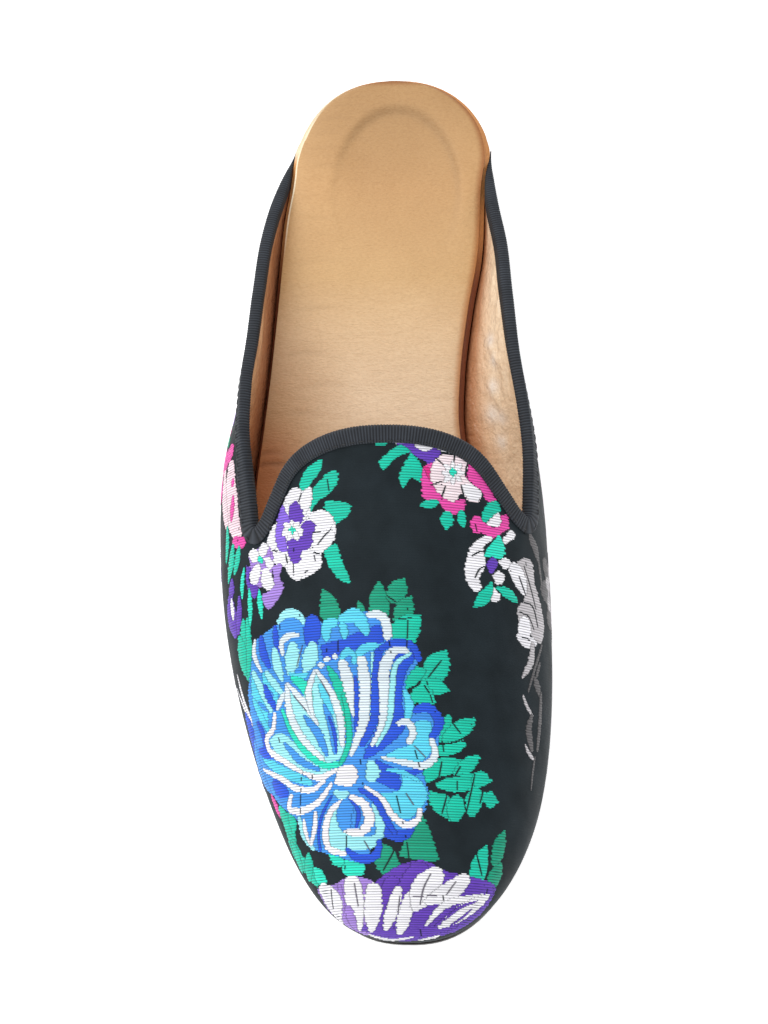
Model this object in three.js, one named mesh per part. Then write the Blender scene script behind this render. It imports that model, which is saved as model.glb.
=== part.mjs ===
// Backless brocade slipper for the right foot, in the smoking-slipper cut.
// Millimetres, +Z up. The toe points along -Y and the inner side of the foot is +X.
// A station is a distance from the heel end, so it runs from 0 to LENGTH.
import * as THREE from 'three';

const { clamp, degToRad, lerp, smoothstep } = THREE.MathUtils;
const spread = (count, from, to) => Array.from({ length: count + 1 }, (_, k) => lerp(from, to, k / count));

// Driving sizes
const LENGTH = 250;
const BALL_STATION = 150;
const HEEL_ROUND = 29;
const WALL = 1.8;
const WALL_AT_END = 0.8;
const SKIVE_LENGTH = 20;
const GAP = 0.3;
const SOLE_THICK = 4;
const SOLE_MARGIN = 1;
const SOLE_TIP_SETBACK = 0.2;
const FEATHER_TIP_SETBACK = 1;
const BOARD_THICK = 2.2;
const SOCK_THICK = 3;
const BINDING_THICK = 0.6;
const BINDING_GAP = 0.4;
const BINDING_LEG = 4.2;

// Side profile of the sole
const SEAT_BACK_HEIGHT = 13;
const SEAT_FRONT_HEIGHT = 11.2;
const HEEL_BREAST = 60;
const ARCH_START = 62;
const TREAD_START = 142;
const TREAD_END = 188;
const TOE_SPRING = 7;
const HEEL_TAPER = 1.6;
const HEEL_INSET = 0.8;
const BREAST_HOLLOW = 4;

// Roundness of the outlines and of the toe's crown
const HEEL_SQUARENESS = 2.3;
const TOE_SQUARENESS = 2.45;
const CROWN_CLOSING = 0.9;
const TOE_LAST_ANGLE = degToRad(88.4);
const HEEL_FIRST_ANGLE = degToRad(3);

// Throat: a rounded lobe over the instep between two narrow notches
const QUARTER_END = 25;
const NOTCH = 140.5;
const NOTCH_ROUND = 2.4;
const NOTCH_SKEW = 2.3;
const SKEW_REACH = 48;
const LOBE_TOP = 120.4;
const LOBE_ROUND_START = 131;
const LOBE_CENTRE = 1;
const LOBE_SQUARENESS_ALONG = 3.2;
const LOBE_SQUARENESS_ACROSS = 2.5;
const LOBE_SIDE = {
  lateral: { atNotch: -33, slope: 0.55 },
  medial: { atNotch: 38.4, slope: -0.72 },
};

// Padded sock with a shallow dish under the heel
const SOCK_EDGE_DROP = 1;
const DISH = { station: 37, x: 1, halfLength: 29, halfWidth: 20, depth: 1.2 };

// Mesh steps
const QUARTER_COLUMNS = [0, 0.17, 0.34, 0.5, 0.63, 0.74, 0.83, 0.915, 1];
const LOBE_COLUMNS = spread(12, 0, 1);
const QUARTER_ROWS = 15;
const NOTCH_ROWS = 3;
const LOBE_ROWS = 8;
const FORE_ROWS = 5;
const TOE_ROWS = 16;
const SOCK_COLUMNS = [-1, -0.93, -0.75, -0.5, -0.25, 0, 0.25, 0.5, 0.75, 0.93, 1];
const SLAB_HEEL_ROWS = 9;
const SLAB_MIDDLE_ROWS = 14;
const SLAB_TOE_ROWS = 11;
const HEEL_SIDE_ROWS = 4;
const BREAST_STEPS = 6;

// Sections of the last: half widths from the axis, rises of the widest level from the feather line,
// ridge from the floor, and the sag of the lateral slope as a share of the crown
const SECTIONS = table(
  ['axis', 'latFeather', 'latWide', 'latRise', 'latSag', 'medFeather', 'medWide', 'medRise', 'ridge'],
  [
    [0, 0.0, 28.4, 28.6, 3.0, 0.06, 28.2, 28.2, 3.0, 76],
    [20, 0.0, 28.6, 28.8, 3.0, 0.06, 28.4, 28.4, 3.0, 76],
    [30, 0.0, 30.2, 31.0, 6.0, 0.06, 28.0, 28.4, 6.0, 78],
    [42, 0.0, 32.8, 34.0, 12.0, 0.06, 28.2, 30.2, 12.0, 80],
    [55, 0.0, 34.0, 36.0, 17.5, 0.06, 27.6, 32.8, 17.5, 80],
    [72, -0.4, 34.8, 36.8, 22.5, 0.06, 25.2, 35.0, 22.5, 79],
    [90, -0.8, 36.0, 37.6, 23.5, 0.08, 23.4, 37.2, 24.5, 77],
    [105, -1.0, 37.6, 40.2, 21.5, 0.08, 23.4, 40.2, 24.5, 72],
    [120, -1.1, 39.4, 44.0, 19.0, 0.09, 27.0, 43.4, 22.0, 66],
    [135, -1.0, 40.4, 45.2, 17.5, 0.09, 35.0, 45.2, 19.5, 60],
    [150, -0.2, 40.8, 45.4, 16.5, 0.08, 39.6, 45.4, 17.5, 55],
    [167, 1.1, 41.0, 45.4, 14.5, 0.06, 41.0, 45.4, 15.0, 50.5],
    [183, 2.8, 41.2, 45.4, 12.5, 0.04, 41.4, 45.4, 12.8, 47],
    [200, 4.7, 41.6, 45.4, 10.5, 0.02, 41.6, 45.4, 10.8, 44.5],
    [216, 6.3, 41.8, 45.4, 9.0, 0.0, 41.8, 45.4, 9.0, 43],
    [232, 7.0, 42.2, 45.4, 7.6, 0.0, 42.2, 45.4, 7.6, 43],
    [250, 7.1, 42.6, 45.4, 6.0, 0.0, 42.6, 45.4, 6.0, 44],
  ],
);

// Height of the topline above the floor along each quarter
const TOPLINE = table(
  ['lateral', 'medial'],
  [
    [25, 18.0, 18.0],
    [32, 21.2, 21.0],
    [42, 25.6, 25.2],
    [55, 30.6, 30.0],
    [72, 35.2, 34.6],
    [90, 38.8, 37.6],
    [105, 41.6, 38.6],
    [120, 42.8, 38.8],
    [130, 42.7, 38.6],
    [142, 42.2, 38.0],
  ],
);

// How far the board and the sock lie inside the feather line
const INSETS = table(
  ['board', 'sock'],
  [
    [0, -0.3, 0.9],
    [14, -0.3, 0.9],
    [24.5, 2.2, 1.4],
    [37, 2.4, 2.9],
    [54, 2.6, 3.7],
    [250, 2.6, 3.7],
  ],
);

// A table of rows, each a station and its values, as smooth functions of the station
function table(names, rows) {
  const stations = rows.map((row) => row[0]);
  const curves = names.map((name, k) => [name, smoothCurve(stations, rows.map((row) => row[k + 1]))]);
  return Object.fromEntries(curves);
}

// Cubic curve through the values, with the slope at each row taken from its neighbours
function smoothCurve(x, y) {
  const last = x.length - 1;
  const step = (k) => x[k + 1] - x[k];
  const rate = (k) => (y[k + 1] - y[k]) / step(k);
  const inner = (k) => (rate(k - 1) * step(k) + rate(k) * step(k - 1)) / (step(k - 1) + step(k));
  const slopes = x.map((_, k) => (k === 0 ? rate(0) : k === last ? rate(last - 1) : inner(k)));
  return (at) => {
    let k = 0;
    while (k < last - 1 && at >= x[k + 1]) k += 1;
    const t = (at - x[k]) / step(k);
    const start = (1 + 2 * t) * (1 - t) ** 2 * y[k] + t * (1 - t) ** 2 * step(k) * slopes[k];
    const end = t * t * (3 - 2 * t) * y[k + 1] + t * t * (t - 1) * step(k) * slopes[k + 1];
    return start + end;
  };
}

const place = (x, station, z) => new THREE.Vector3(x, LENGTH / 2 - station, z);

// Underside of the outsole: sloping heel seat, arch, flat tread and toe spring
function soleBottom(station) {
  const seatSlope = (SEAT_FRONT_HEIGHT - SEAT_BACK_HEIGHT) / ARCH_START;
  if (station < ARCH_START) return SEAT_BACK_HEIGHT + seatSlope * station;
  if (station < TREAD_START) {
    const span = TREAD_START - ARCH_START;
    const t = (station - ARCH_START) / span;
    const fall = SEAT_FRONT_HEIGHT * (2 * t ** 3 - 3 * t ** 2 + 1);
    return fall + seatSlope * span * (t ** 3 - 2 * t ** 2 + t);
  }
  return TOE_SPRING * Math.max(0, (station - TREAD_END) / (LENGTH - TREAD_END)) ** 2;
}

const soleTop = (station) => soleBottom(station) + SOLE_THICK;
const boardTop = (station) => soleTop(station) + GAP + BOARD_THICK;
const featherHeight = (station) => soleTop(station) + GAP;

// Share of the full width that is left as the toe closes, and the same for the round heel
function toeCosine(station, tip) {
  const t = clamp((station - BALL_STATION) / (tip - BALL_STATION), 0, 1);
  return Math.sqrt(1 - t * t);
}
const toeShare = (station, tip) => toeCosine(station, tip) ** (2 / TOE_SQUARENESS);
function heelShare(station, back) {
  const t = clamp((HEEL_ROUND - station) / (HEEL_ROUND - back), 0, 1);
  return (1 - t * t) ** (1 / HEEL_SQUARENESS);
}

// Measures of the section at a station, on the lateral (-1) or the medial (+1) side
function section(side, station) {
  const medial = side > 0;
  const share = toeShare(station, LENGTH);
  const foot = featherHeight(station);
  const wideHeight = foot + (medial ? SECTIONS.medRise : SECTIONS.latRise)(station);
  const crown = (SECTIONS.ridge(station) - wideHeight) * toeCosine(station, LENGTH) ** CROWN_CLOSING;
  return {
    axis: SECTIONS.axis(station),
    feather: (medial ? SECTIONS.medFeather : SECTIONS.latFeather)(station) * share,
    wide: (medial ? SECTIONS.medWide : SECTIONS.latWide)(station) * share,
    sag: medial ? 0 : SECTIONS.latSag(station),
    foot,
    wideHeight,
    crown,
  };
}

// Rise of the crown from the widest level, at angle 0, to the ridge, at a right angle
const crownShare = (angle, sag) => Math.sin(angle) - sag * Math.sin(2 * angle) ** 2;
function crownAngle(share, sag) {
  let [low, high] = [0, Math.PI / 2];
  for (let k = 0; k < 40; k += 1) {
    const middle = (low + high) / 2;
    if (crownShare(middle, sag) < share) low = middle;
    else high = middle;
  }
  return low;
}

// The rows of the upper slant a little, so that the lateral notch lies further forward
function skewed(station, girth) {
  const reach = clamp(1 - Math.abs(station - NOTCH) / SKEW_REACH, 0, 1);
  const amount = NOTCH_SKEW * smoothstep(reach, 0, 1);
  return station - amount * Math.sin(clamp(girth, -1, 1) * Math.PI / 2);
}

// Outer face of the upper. Girth runs from -2 at the lateral feather line through -1 at the
// widest level, 0 on the ridge and 1, to 2 at the medial feather line.
function outerFace(row, girth) {
  const station = skewed(row, girth);
  const side = girth > 0 ? 1 : -1;
  const shape = section(side, station);
  const reach = Math.abs(girth);
  if (reach <= 1) {
    const angle = (1 - reach) * Math.PI / 2;
    const z = shape.wideHeight + shape.crown * crownShare(angle, shape.sag);
    return place(shape.axis + side * shape.wide * Math.cos(angle), station, z);
  }
  const climb = 2 - reach;
  const half = lerp(shape.feather, shape.wide, Math.sin(climb * Math.PI / 2));
  const toeward = clamp((station - BALL_STATION) / (LENGTH - BALL_STATION), 0, 1);
  const setback = FEATHER_TIP_SETBACK * toeward * (1 - climb);
  return place(shape.axis + side * half, station - setback, lerp(shape.foot, shape.wideHeight, climb));
}

// Directions on the outer face: along the rows, round the girth and straight out
function faceFrame(row, girth) {
  const small = 1e-3;
  const along = outerFace(row + small, girth).sub(outerFace(row - small, girth)).divideScalar(2 * small);
  const around = outerFace(row, girth + small).sub(outerFace(row, girth - small)).divideScalar(2 * small);
  const normal = new THREE.Vector3().crossVectors(along, around).normalize();
  return { along, around, normal };
}

// The wall is skived thin towards the ends of the quarters
const wallAt = (row) => lerp(WALL_AT_END, WALL, smoothstep(row, QUARTER_END, QUARTER_END + SKIVE_LENGTH));

const offsetFace = (row, girth, depth) =>
  outerFace(row, girth).addScaledVector(faceFrame(row, girth).normal, depth);

// Girth at which the quarter's face reaches its topline
function quarterGirth(side, row) {
  const shape = section(side, row);
  const height = (side > 0 ? TOPLINE.medial : TOPLINE.lateral)(row);
  const above = (height - shape.wideHeight) / shape.crown;
  if (above <= 0) return 2 - (height - shape.foot) / (shape.wideHeight - shape.foot);
  return 1 - crownAngle(above, shape.sag) * 2 / Math.PI;
}

// Girth at a distance x across the instep
function girthAt(row, x) {
  const side = x > SECTIONS.axis(row) ? 1 : -1;
  const shape = section(side, row);
  return side * Math.asin(clamp(Math.abs(x - shape.axis) / shape.wide, 0, 1)) * 2 / Math.PI;
}

// Straight side of the lobe, before its top is rounded
function lobeSideGirth(side, row) {
  const line = side > 0 ? LOBE_SIDE.medial : LOBE_SIDE.lateral;
  return girthAt(row, line.atNotch + line.slope * (NOTCH - row));
}

// Both sides of a notch close on this girth at its rounded bottom
const notchGirth = (side) => (quarterGirth(side, NOTCH) * side + lobeSideGirth(side, NOTCH)) / 2;
function notchOpening(row) {
  const left = clamp((NOTCH - row) / NOTCH_ROUND, 0, 1);
  return Math.sqrt(1 - (1 - left) ** 2);
}

const quarterEdge = (side, row) => lerp(notchGirth(side), side * quarterGirth(side, row), notchOpening(row));

function lobeEdge(side, row) {
  const t = clamp((LOBE_ROUND_START - row) / (LOBE_ROUND_START - LOBE_TOP), 0, 1);
  const share = (1 - t ** LOBE_SQUARENESS_ALONG) ** (1 / LOBE_SQUARENESS_ACROSS);
  const rounded = lerp(girthAt(row, LOBE_CENTRE), lobeSideGirth(side, row), share);
  return lerp(notchGirth(side), rounded, notchOpening(row));
}

// Rows of the patches, closer together where an edge turns quickly
function notchRows() {
  const angles = spread(NOTCH_ROWS, 0, Math.PI / 2);
  return angles.map((angle) => NOTCH - NOTCH_ROUND * (1 - Math.sin(angle)));
}
function quarterRows() {
  const plain = spread(QUARTER_ROWS, QUARTER_END, NOTCH - NOTCH_ROUND);
  return [...plain.slice(0, -1), ...notchRows()];
}
function lobeRows() {
  const shares = spread(LOBE_ROWS, 0, 1).map((share) => Math.sin(share * Math.PI / 2));
  const along = shares.map((share) => (1 - share ** LOBE_SQUARENESS_ACROSS) ** (1 / LOBE_SQUARENESS_ALONG));
  const rounded = along.map((t) => LOBE_ROUND_START - t * (LOBE_ROUND_START - LOBE_TOP));
  return [...rounded, (LOBE_ROUND_START + NOTCH - NOTCH_ROUND) / 2, ...notchRows()];
}
function foreRows() {
  const toe = spread(TOE_ROWS, 0, TOE_LAST_ANGLE);
  const closing = toe.map((angle) => BALL_STATION + (LENGTH - BALL_STATION) * Math.sin(angle));
  return [...spread(FORE_ROWS, NOTCH, BALL_STATION).slice(0, -1), ...closing];
}

// A sheet of (row, girth) points and triangles, with points shared between its patches
class Sheet {
  points = [];
  triangles = [];
  index = new Map();

  point(row, girth) {
    const key = `${row.toFixed(5)} ${girth.toFixed(7)}`;
    if (!this.index.has(key)) {
      this.index.set(key, this.points.length);
      this.points.push([row, girth]);
    }
    return this.index.get(key);
  }

  triangle(a, b, c) {
    if (a !== b && b !== c && c !== a) this.triangles.push([a, b, c]);
  }

  patch(rows) {
    for (let i = 0; i + 1 < rows.length; i += 1) {
      for (let k = 0; k + 1 < rows[i].length; k += 1) {
        const [a, b, c, d] = [rows[i][k], rows[i][k + 1], rows[i + 1][k + 1], rows[i + 1][k]];
        this.triangle(a, b, c);
        this.triangle(a, c, d);
      }
    }
  }
}

function pointRow(sheet, row, columns, from, to) {
  return columns.map((share) => sheet.point(row, lerp(from, to, share)));
}

// One point row right across the forepart: lateral wall, instep, medial wall
function foreRow(sheet, row) {
  const [left, right] = [notchGirth(-1), notchGirth(1)];
  const lateral = pointRow(sheet, row, QUARTER_COLUMNS, -2, left);
  const instep = pointRow(sheet, row, LOBE_COLUMNS, left, right);
  const medial = pointRow(sheet, row, QUARTER_COLUMNS, 2, right).reverse();
  return [...lateral, ...instep.slice(1), ...medial.slice(1)];
}

// The blunt tip of the toe joins the two halves of its last row
function closeToe(sheet, row) {
  const half = Math.floor(row.length / 2);
  for (let k = 0; k < half; k += 1) {
    const [a, b] = [row[k], row[k + 1]];
    const [c, d] = [row[row.length - 2 - k], row[row.length - 1 - k]];
    sheet.triangle(a, b, c);
    sheet.triangle(a, c, d);
  }
}

function upperSheet() {
  const sheet = new Sheet();
  for (const side of [-1, 1]) {
    const strip = quarterRows().map((row) => {
      const points = pointRow(sheet, row, QUARTER_COLUMNS, side * 2, quarterEdge(side, row));
      return side < 0 ? points : points.reverse();
    });
    sheet.patch(strip);
  }
  const lobe = lobeRows().map((row) => pointRow(sheet, row, LOBE_COLUMNS, lobeEdge(-1, row), lobeEdge(1, row)));
  sheet.patch(lobe);
  const fore = foreRows().map((row) => foreRow(sheet, row));
  sheet.patch(fore);
  closeToe(sheet, fore[fore.length - 1]);
  return sheet;
}

// Edges of the sheet that only one triangle has
function openEdges(triangles) {
  const edges = new Map();
  for (const [a, b, c] of triangles) {
    for (const [from, to] of [[a, b], [b, c], [c, a]]) {
      if (!edges.delete(`${to} ${from}`)) edges.set(`${from} ${to}`, [from, to]);
    }
  }
  return [...edges.values()];
}

// A closed geometry from points and triangles, turned so that its faces look outwards
function solid(points, triangles) {
  const volume = triangles.reduce((sum, [a, b, c]) => {
    const normal = new THREE.Vector3().crossVectors(points[b], points[c]);
    return sum + points[a].dot(normal);
  }, 0);
  const outward = volume > 0 ? triangles : triangles.map(([a, b, c]) => [a, c, b]);
  const geometry = new THREE.BufferGeometry();
  geometry.setAttribute('position', new THREE.Float32BufferAttribute(points.flatMap((p) => p.toArray()), 3));
  geometry.setIndex(outward.flat());
  geometry.computeVertexNormals();
  return geometry;
}

// The upper: the sheet's outer face, its inner face one wall further in, and the edges between
function upperGeometry() {
  const sheet = upperSheet();
  const count = sheet.points.length;
  const outer = sheet.points.map(([row, girth]) => outerFace(row, girth));
  const inner = sheet.points.map(([row, girth]) => offsetFace(row, girth, -wallAt(row)));
  const triangles = [...sheet.triangles];
  for (const [a, b, c] of sheet.triangles) triangles.push([a + count, c + count, b + count]);
  for (const [from, to] of openEdges(sheet.triangles)) {
    triangles.push([to, from, from + count], [to, from + count, to + count]);
  }
  return solid([...outer, ...inner], triangles);
}

// The whole topline as (row, girth) points, from the end of the lateral quarter to the medial one
function toplinePath() {
  const lateral = quarterRows().map((row) => [row, quarterEdge(-1, row)]);
  const medial = quarterRows().map((row) => [row, quarterEdge(1, row)]).reverse();
  const rows = lobeRows();
  const up = rows.slice(0, -1).reverse().map((row) => [row, lobeEdge(-1, row)]);
  const down = rows.slice(1, -1).map((row) => [row, lobeEdge(1, row)]);
  return [...lateral, ...up, ...down, ...medial];
}

// A step on the outer face from (row, girth) along a direction in space
function stepOnFace([row, girth], direction, distance) {
  const { along, around } = faceFrame(row, girth);
  const [aa, ab, bb] = [along.dot(along), along.dot(around), around.dot(around)];
  const [da, db] = [direction.dot(along) * distance, direction.dot(around) * distance];
  const area = aa * bb - ab * ab;
  return [row + (da * bb - db * ab) / area, girth + (db * aa - da * ab) / area];
}

// Section of the folded binding: depth off the outer face and distance below the edge
function bindingProfile(wall, outerLeg, innerLeg) {
  const near = BINDING_GAP;
  const far = BINDING_GAP + BINDING_THICK;
  const shoulder = far * Math.SQRT1_2;
  return [
    [far, outerLeg], [far, outerLeg / 2], [far, 0], [shoulder, -shoulder], [-wall / 2, -far],
    [-wall - shoulder, -shoulder], [-wall - far, 0], [-wall - far, innerLeg / 2], [-wall - far, innerLeg],
    [-wall - near, innerLeg], [-wall - near, innerLeg / 2], [-wall - near, -near],
    [near, -near], [near, outerLeg / 2], [near, outerLeg],
  ];
}

// One ring of the binding at a point of the topline
function bindingRing(path, k) {
  const edge = outerFace(...path[k]);
  const before = outerFace(...path[Math.max(k - 1, 0)]);
  const after = outerFace(...path[Math.min(k + 1, path.length - 1)]);
  const { normal } = faceFrame(...path[k]);
  const run = after.sub(before).normalize();
  const beyond = new THREE.Vector3().crossVectors(normal, run).normalize();
  const row = path[k][0];
  const outerLeg = Math.min(BINDING_LEG, edge.z - featherHeight(row) - GAP);
  const innerLeg = clamp(edge.z - boardTop(row) - GAP, GAP, BINDING_LEG);
  return bindingProfile(wallAt(row), outerLeg, innerLeg).map(([depth, below]) => {
    if (below <= 0) return edge.clone().addScaledVector(beyond, -below).addScaledVector(normal, depth);
    const half = stepOnFace(path[k], beyond, -below / 2);
    const foot = stepOnFace(half, beyond, -below / 2);
    return offsetFace(...foot, depth);
  });
}

function bindingGeometry() {
  const path = toplinePath();
  const rings = path.map((_, k) => bindingRing(path, k));
  const sides = rings[0].length;
  const triangles = [];
  for (let i = 0; i + 1 < rings.length; i += 1) {
    for (let k = 0; k < sides; k += 1) {
      const [a, b] = [i * sides + k, i * sides + (k + 1) % sides];
      triangles.push([a, b, b + sides], [a, b + sides, a + sides]);
    }
  }
  const start = capTriangles(0);
  const end = capTriangles((rings.length - 1) * sides).map(([a, b, c]) => [a, c, b]);
  return solid(rings.flat(), [...triangles, ...start, ...end]);
}

// End of the binding: the U of its section as a strip between facing points of its two outlines
function capTriangles(first) {
  const order = [[0, 14], [1, 13], [2, 12], [4, 12], [4, 11], [6, 11], [7, 10], [8, 9]];
  const triangles = [];
  for (let k = 0; k + 1 < order.length; k += 1) {
    const [a, d] = order[k];
    const [b, c] = order[k + 1];
    if (a !== b) triangles.push([first + a, first + d, first + b]);
    if (c !== d) triangles.push([first + d, first + c, first + b]);
  }
  triangles.push([first + 2, first + 4, first + 3], [first + 4, first + 6, first + 5]);
  return triangles;
}

// Stations of a slab that follows the sole from the round heel to the round toe
function slabStations(back, tip) {
  const heel = spread(SLAB_HEEL_ROWS, HEEL_FIRST_ANGLE, Math.PI / 2);
  const toe = spread(SLAB_TOE_ROWS, 0, TOE_LAST_ANGLE);
  return [
    ...heel.map((angle) => HEEL_ROUND - (HEEL_ROUND - back) * Math.cos(angle)),
    ...spread(SLAB_MIDDLE_ROWS, HEEL_ROUND, TREAD_START).slice(1),
    ...toe.map((angle) => BALL_STATION + (tip - BALL_STATION) * Math.sin(angle)),
  ];
}

// A slab between two height functions of station, x and the share u of its half width
function slabGeometry(stations, edges, columns, top, bottom) {
  const points = [];
  const across = columns.length;
  for (const height of [top, bottom]) {
    for (const station of stations) {
      const { lateral, medial } = edges(station);
      for (const u of columns) {
        const x = lerp(lateral, medial, (u + 1) / 2);
        points.push(place(x, station, height(station, x, u)));
      }
    }
  }
  const sheet = new Sheet();
  const rows = stations.map((_, i) => columns.map((__, k) => i * across + k));
  sheet.patch(rows);
  const count = stations.length * across;
  const triangles = [...sheet.triangles];
  for (const [a, b, c] of sheet.triangles) triangles.push([a + count, c + count, b + count]);
  for (const [from, to] of openEdges(sheet.triangles)) {
    triangles.push([to, from, from + count], [to, from + count, to + count]);
  }
  return solid(points, triangles);
}

// Outline of the sole, or an outline a given distance inside it
function soleEdges(station, inside, back, tip) {
  const axis = SECTIONS.axis(station);
  const share = heelShare(station, back) * toeShare(station, tip);
  return {
    lateral: axis - (SECTIONS.latFeather(station) + SOLE_MARGIN - inside) * share,
    medial: axis + (SECTIONS.medFeather(station) + SOLE_MARGIN - inside) * share,
  };
}

const SOLE_TIP = LENGTH - SOLE_TIP_SETBACK;
const outsoleGeometry = () => slabGeometry(
  slabStations(0, SOLE_TIP),
  (station) => soleEdges(station, 0, 0, SOLE_TIP),
  [-1, 0, 1],
  soleTop,
  soleBottom,
);

// Outline of a layer inside the upper, which ends as far inside the sole's heel and toe as its sides do
function layerSlab(layer, columns, top, bottom) {
  const back = SOLE_MARGIN + INSETS[layer](0);
  const tip = SOLE_TIP - SOLE_MARGIN - INSETS[layer](LENGTH);
  const edges = (station) => soleEdges(station, SOLE_MARGIN + INSETS[layer](station), back, tip);
  return slabGeometry(slabStations(back, tip), edges, columns, top, bottom);
}

const boardGeometry = () => layerSlab('board', [-1, 0, 1], boardTop, featherHeight);

// Top of the padded sock: soft edges and a shallow dish under the heel
function sockTop(station, x, u) {
  const heelward = clamp((HEEL_ROUND - station) / HEEL_ROUND, 0, 1);
  const edge = Math.min(1, Math.abs(u) ** 10 + heelward ** 10);
  const along = (station - DISH.station) / DISH.halfLength;
  const across = (x - DISH.x) / DISH.halfWidth;
  const dish = DISH.depth * (1 - smoothstep(Math.hypot(along, across), 0.7, 1.05));
  return sockBottom(station) + SOCK_THICK - SOCK_EDGE_DROP * edge - dish;
}

const sockBottom = (station) => boardTop(station) + GAP;
const sockGeometry = () => layerSlab('sock', SOCK_COLUMNS, sockTop, sockBottom);

// Low heel: its sides taper towards the floor and its breast is slightly hollow
function heelGeometry() {
  const angles = spread(SLAB_HEEL_ROWS, HEEL_FIRST_ANGLE, Math.PI / 2);
  const round = angles.map((angle) => HEEL_ROUND - (HEEL_ROUND - HEEL_INSET) * Math.cos(angle));
  const stations = [...round, ...spread(HEEL_SIDE_ROWS, HEEL_ROUND, HEEL_BREAST).slice(1)];
  const outline = stations.map((station) => soleEdges(station, HEEL_INSET, HEEL_INSET, SOLE_TIP));
  const breast = spread(BREAST_STEPS, 0, 1).slice(1, -1).map((t) => {
    const end = outline[outline.length - 1];
    return [lerp(end.lateral, end.medial, t), HEEL_BREAST - BREAST_HOLLOW * 4 * t * (1 - t)];
  });
  const ring = [
    ...outline.map((edge, k) => [edge.lateral, stations[k]]),
    ...breast,
    ...outline.map((edge, k) => [edge.medial, stations[k]]).reverse(),
  ];
  const shrink = (value, centre, half) => centre + (value - centre) * (1 - HEEL_TAPER / half);
  const low = ring.map(([x, station]) => {
    const narrow = shrink(x, 0, SECTIONS.latFeather(HEEL_ROUND));
    return place(narrow, shrink(station, HEEL_BREAST, HEEL_BREAST), 0);
  });
  const high = ring.map(([x, station]) => place(x, station, soleBottom(station) - GAP));
  const flat = ring.map(([x, station]) => new THREE.Vector2(x, station));
  const faces = THREE.ShapeUtils.triangulateShape(flat, []);
  const count = ring.length;
  const triangles = [...faces];
  for (const [a, b, c] of faces) triangles.push([a + count, c + count, b + count]);
  for (const [from, to] of openEdges(faces)) {
    triangles.push([to, from, from + count], [to, from + count, to + count]);
  }
  return solid([...high, ...low], triangles);
}

// Materials
const surface = (color, roughness) => new THREE.MeshStandardMaterial({ color, roughness, metalness: 0 });
const materials = {
  brocade: surface(0x22252a, 0.55),
  grosgrain: surface(0x2a2c31, 0.7),
  sockLeather: surface(0xd2a878, 0.5),
  edgeLeather: surface(0xbd7a40, 0.45),
  soleLeather: surface(0x1c1b1a, 0.5),
};

const pieces = [
  ['outsole', outsoleGeometry(), materials.soleLeather],
  ['heel', heelGeometry(), materials.soleLeather],
  ['upper', upperGeometry(), materials.brocade],
  ['topline_binding', bindingGeometry(), materials.grosgrain],
  ['insole_board', boardGeometry(), materials.edgeLeather],
  ['sock', sockGeometry(), materials.sockLeather],
];

const slipper = new THREE.Group();
for (const [name, geometry, material] of pieces) {
  const mesh = new THREE.Mesh(geometry, material);
  mesh.name = name;
  slipper.add(mesh);
}

export default slipper;
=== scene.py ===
import math
import random

import bpy
import numpy as np
from mathutils import Matrix, Vector


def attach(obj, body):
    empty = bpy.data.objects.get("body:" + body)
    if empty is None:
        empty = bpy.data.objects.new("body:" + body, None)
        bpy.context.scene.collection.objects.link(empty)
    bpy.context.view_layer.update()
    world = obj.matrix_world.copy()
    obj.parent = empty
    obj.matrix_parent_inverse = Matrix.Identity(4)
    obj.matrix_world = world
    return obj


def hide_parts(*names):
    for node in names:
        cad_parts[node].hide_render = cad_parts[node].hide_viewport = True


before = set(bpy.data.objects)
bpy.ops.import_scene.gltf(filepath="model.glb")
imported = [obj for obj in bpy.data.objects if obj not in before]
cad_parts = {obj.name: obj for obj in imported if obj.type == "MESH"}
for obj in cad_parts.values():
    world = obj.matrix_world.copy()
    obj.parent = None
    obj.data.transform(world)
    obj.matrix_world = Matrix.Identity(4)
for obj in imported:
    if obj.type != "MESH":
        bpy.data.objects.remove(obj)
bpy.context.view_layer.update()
MM = 0.001
SEED = 7

# Sizes of the shoe in mm, close to the part's. A station is a distance from the heel end.
LENGTH = 250
BALL_STATION = 150
HEEL_ROUND = 29
WALL = 1.8
WALL_AT_END = 0.3
SKIVE_LENGTH = 20
GAP = 0.3
SOLE_THICK = 4
SOLE_MARGIN = 1
SOLE_TIP = 249.8
FEATHER_TIP_SETBACK = 1
BOARD_THICK = 2.2
SOCK_THICK = 3
SEAT_BACK_HEIGHT = 13
SEAT_FRONT_HEIGHT = 11.2
HEEL_BREAST = 60
ARCH_START = 62
TREAD_START = 142
TREAD_END = 188
TOE_SPRING = 7
HEEL_TAPER = 1.6
HEEL_INSET = 0.8
BREAST_HOLLOW = 4
TOE_LAST = 249.96
TOE_CLOSE = 245

# Powers that round the ends and close the crown, and the girth at the feather line
HEEL_SQUARENESS = 2.3
TOE_SQUARENESS = 2.45
CROWN_CLOSING = 0.9
FEATHER_GIRTH = 2

# Throat: sizes in mm, the powers of the lobe's round, and its sides' x at the notch with their slopes
QUARTER_END = 22
NOTCH = 140.5
NOTCH_ROUND = 2.4
NOTCH_SKEW = 2.3
SKEW_REACH = 48
LOBE_TOP = 120.4
LOBE_ROUND_START = 131
LOBE_CENTRE = 1
LOBE_ALONG = 3.2
LOBE_ACROSS = 2.5
LOBE_SIDE = {-1: (-33, 0.55), 1: (38.4, -0.72)}

# Sock, with a dish under the heel
SOCK_EDGE_DROP = 1
DISH = {"station": 37, "x": 1, "half_length": 28, "half_width": 19.5, "depth": 1}

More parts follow.
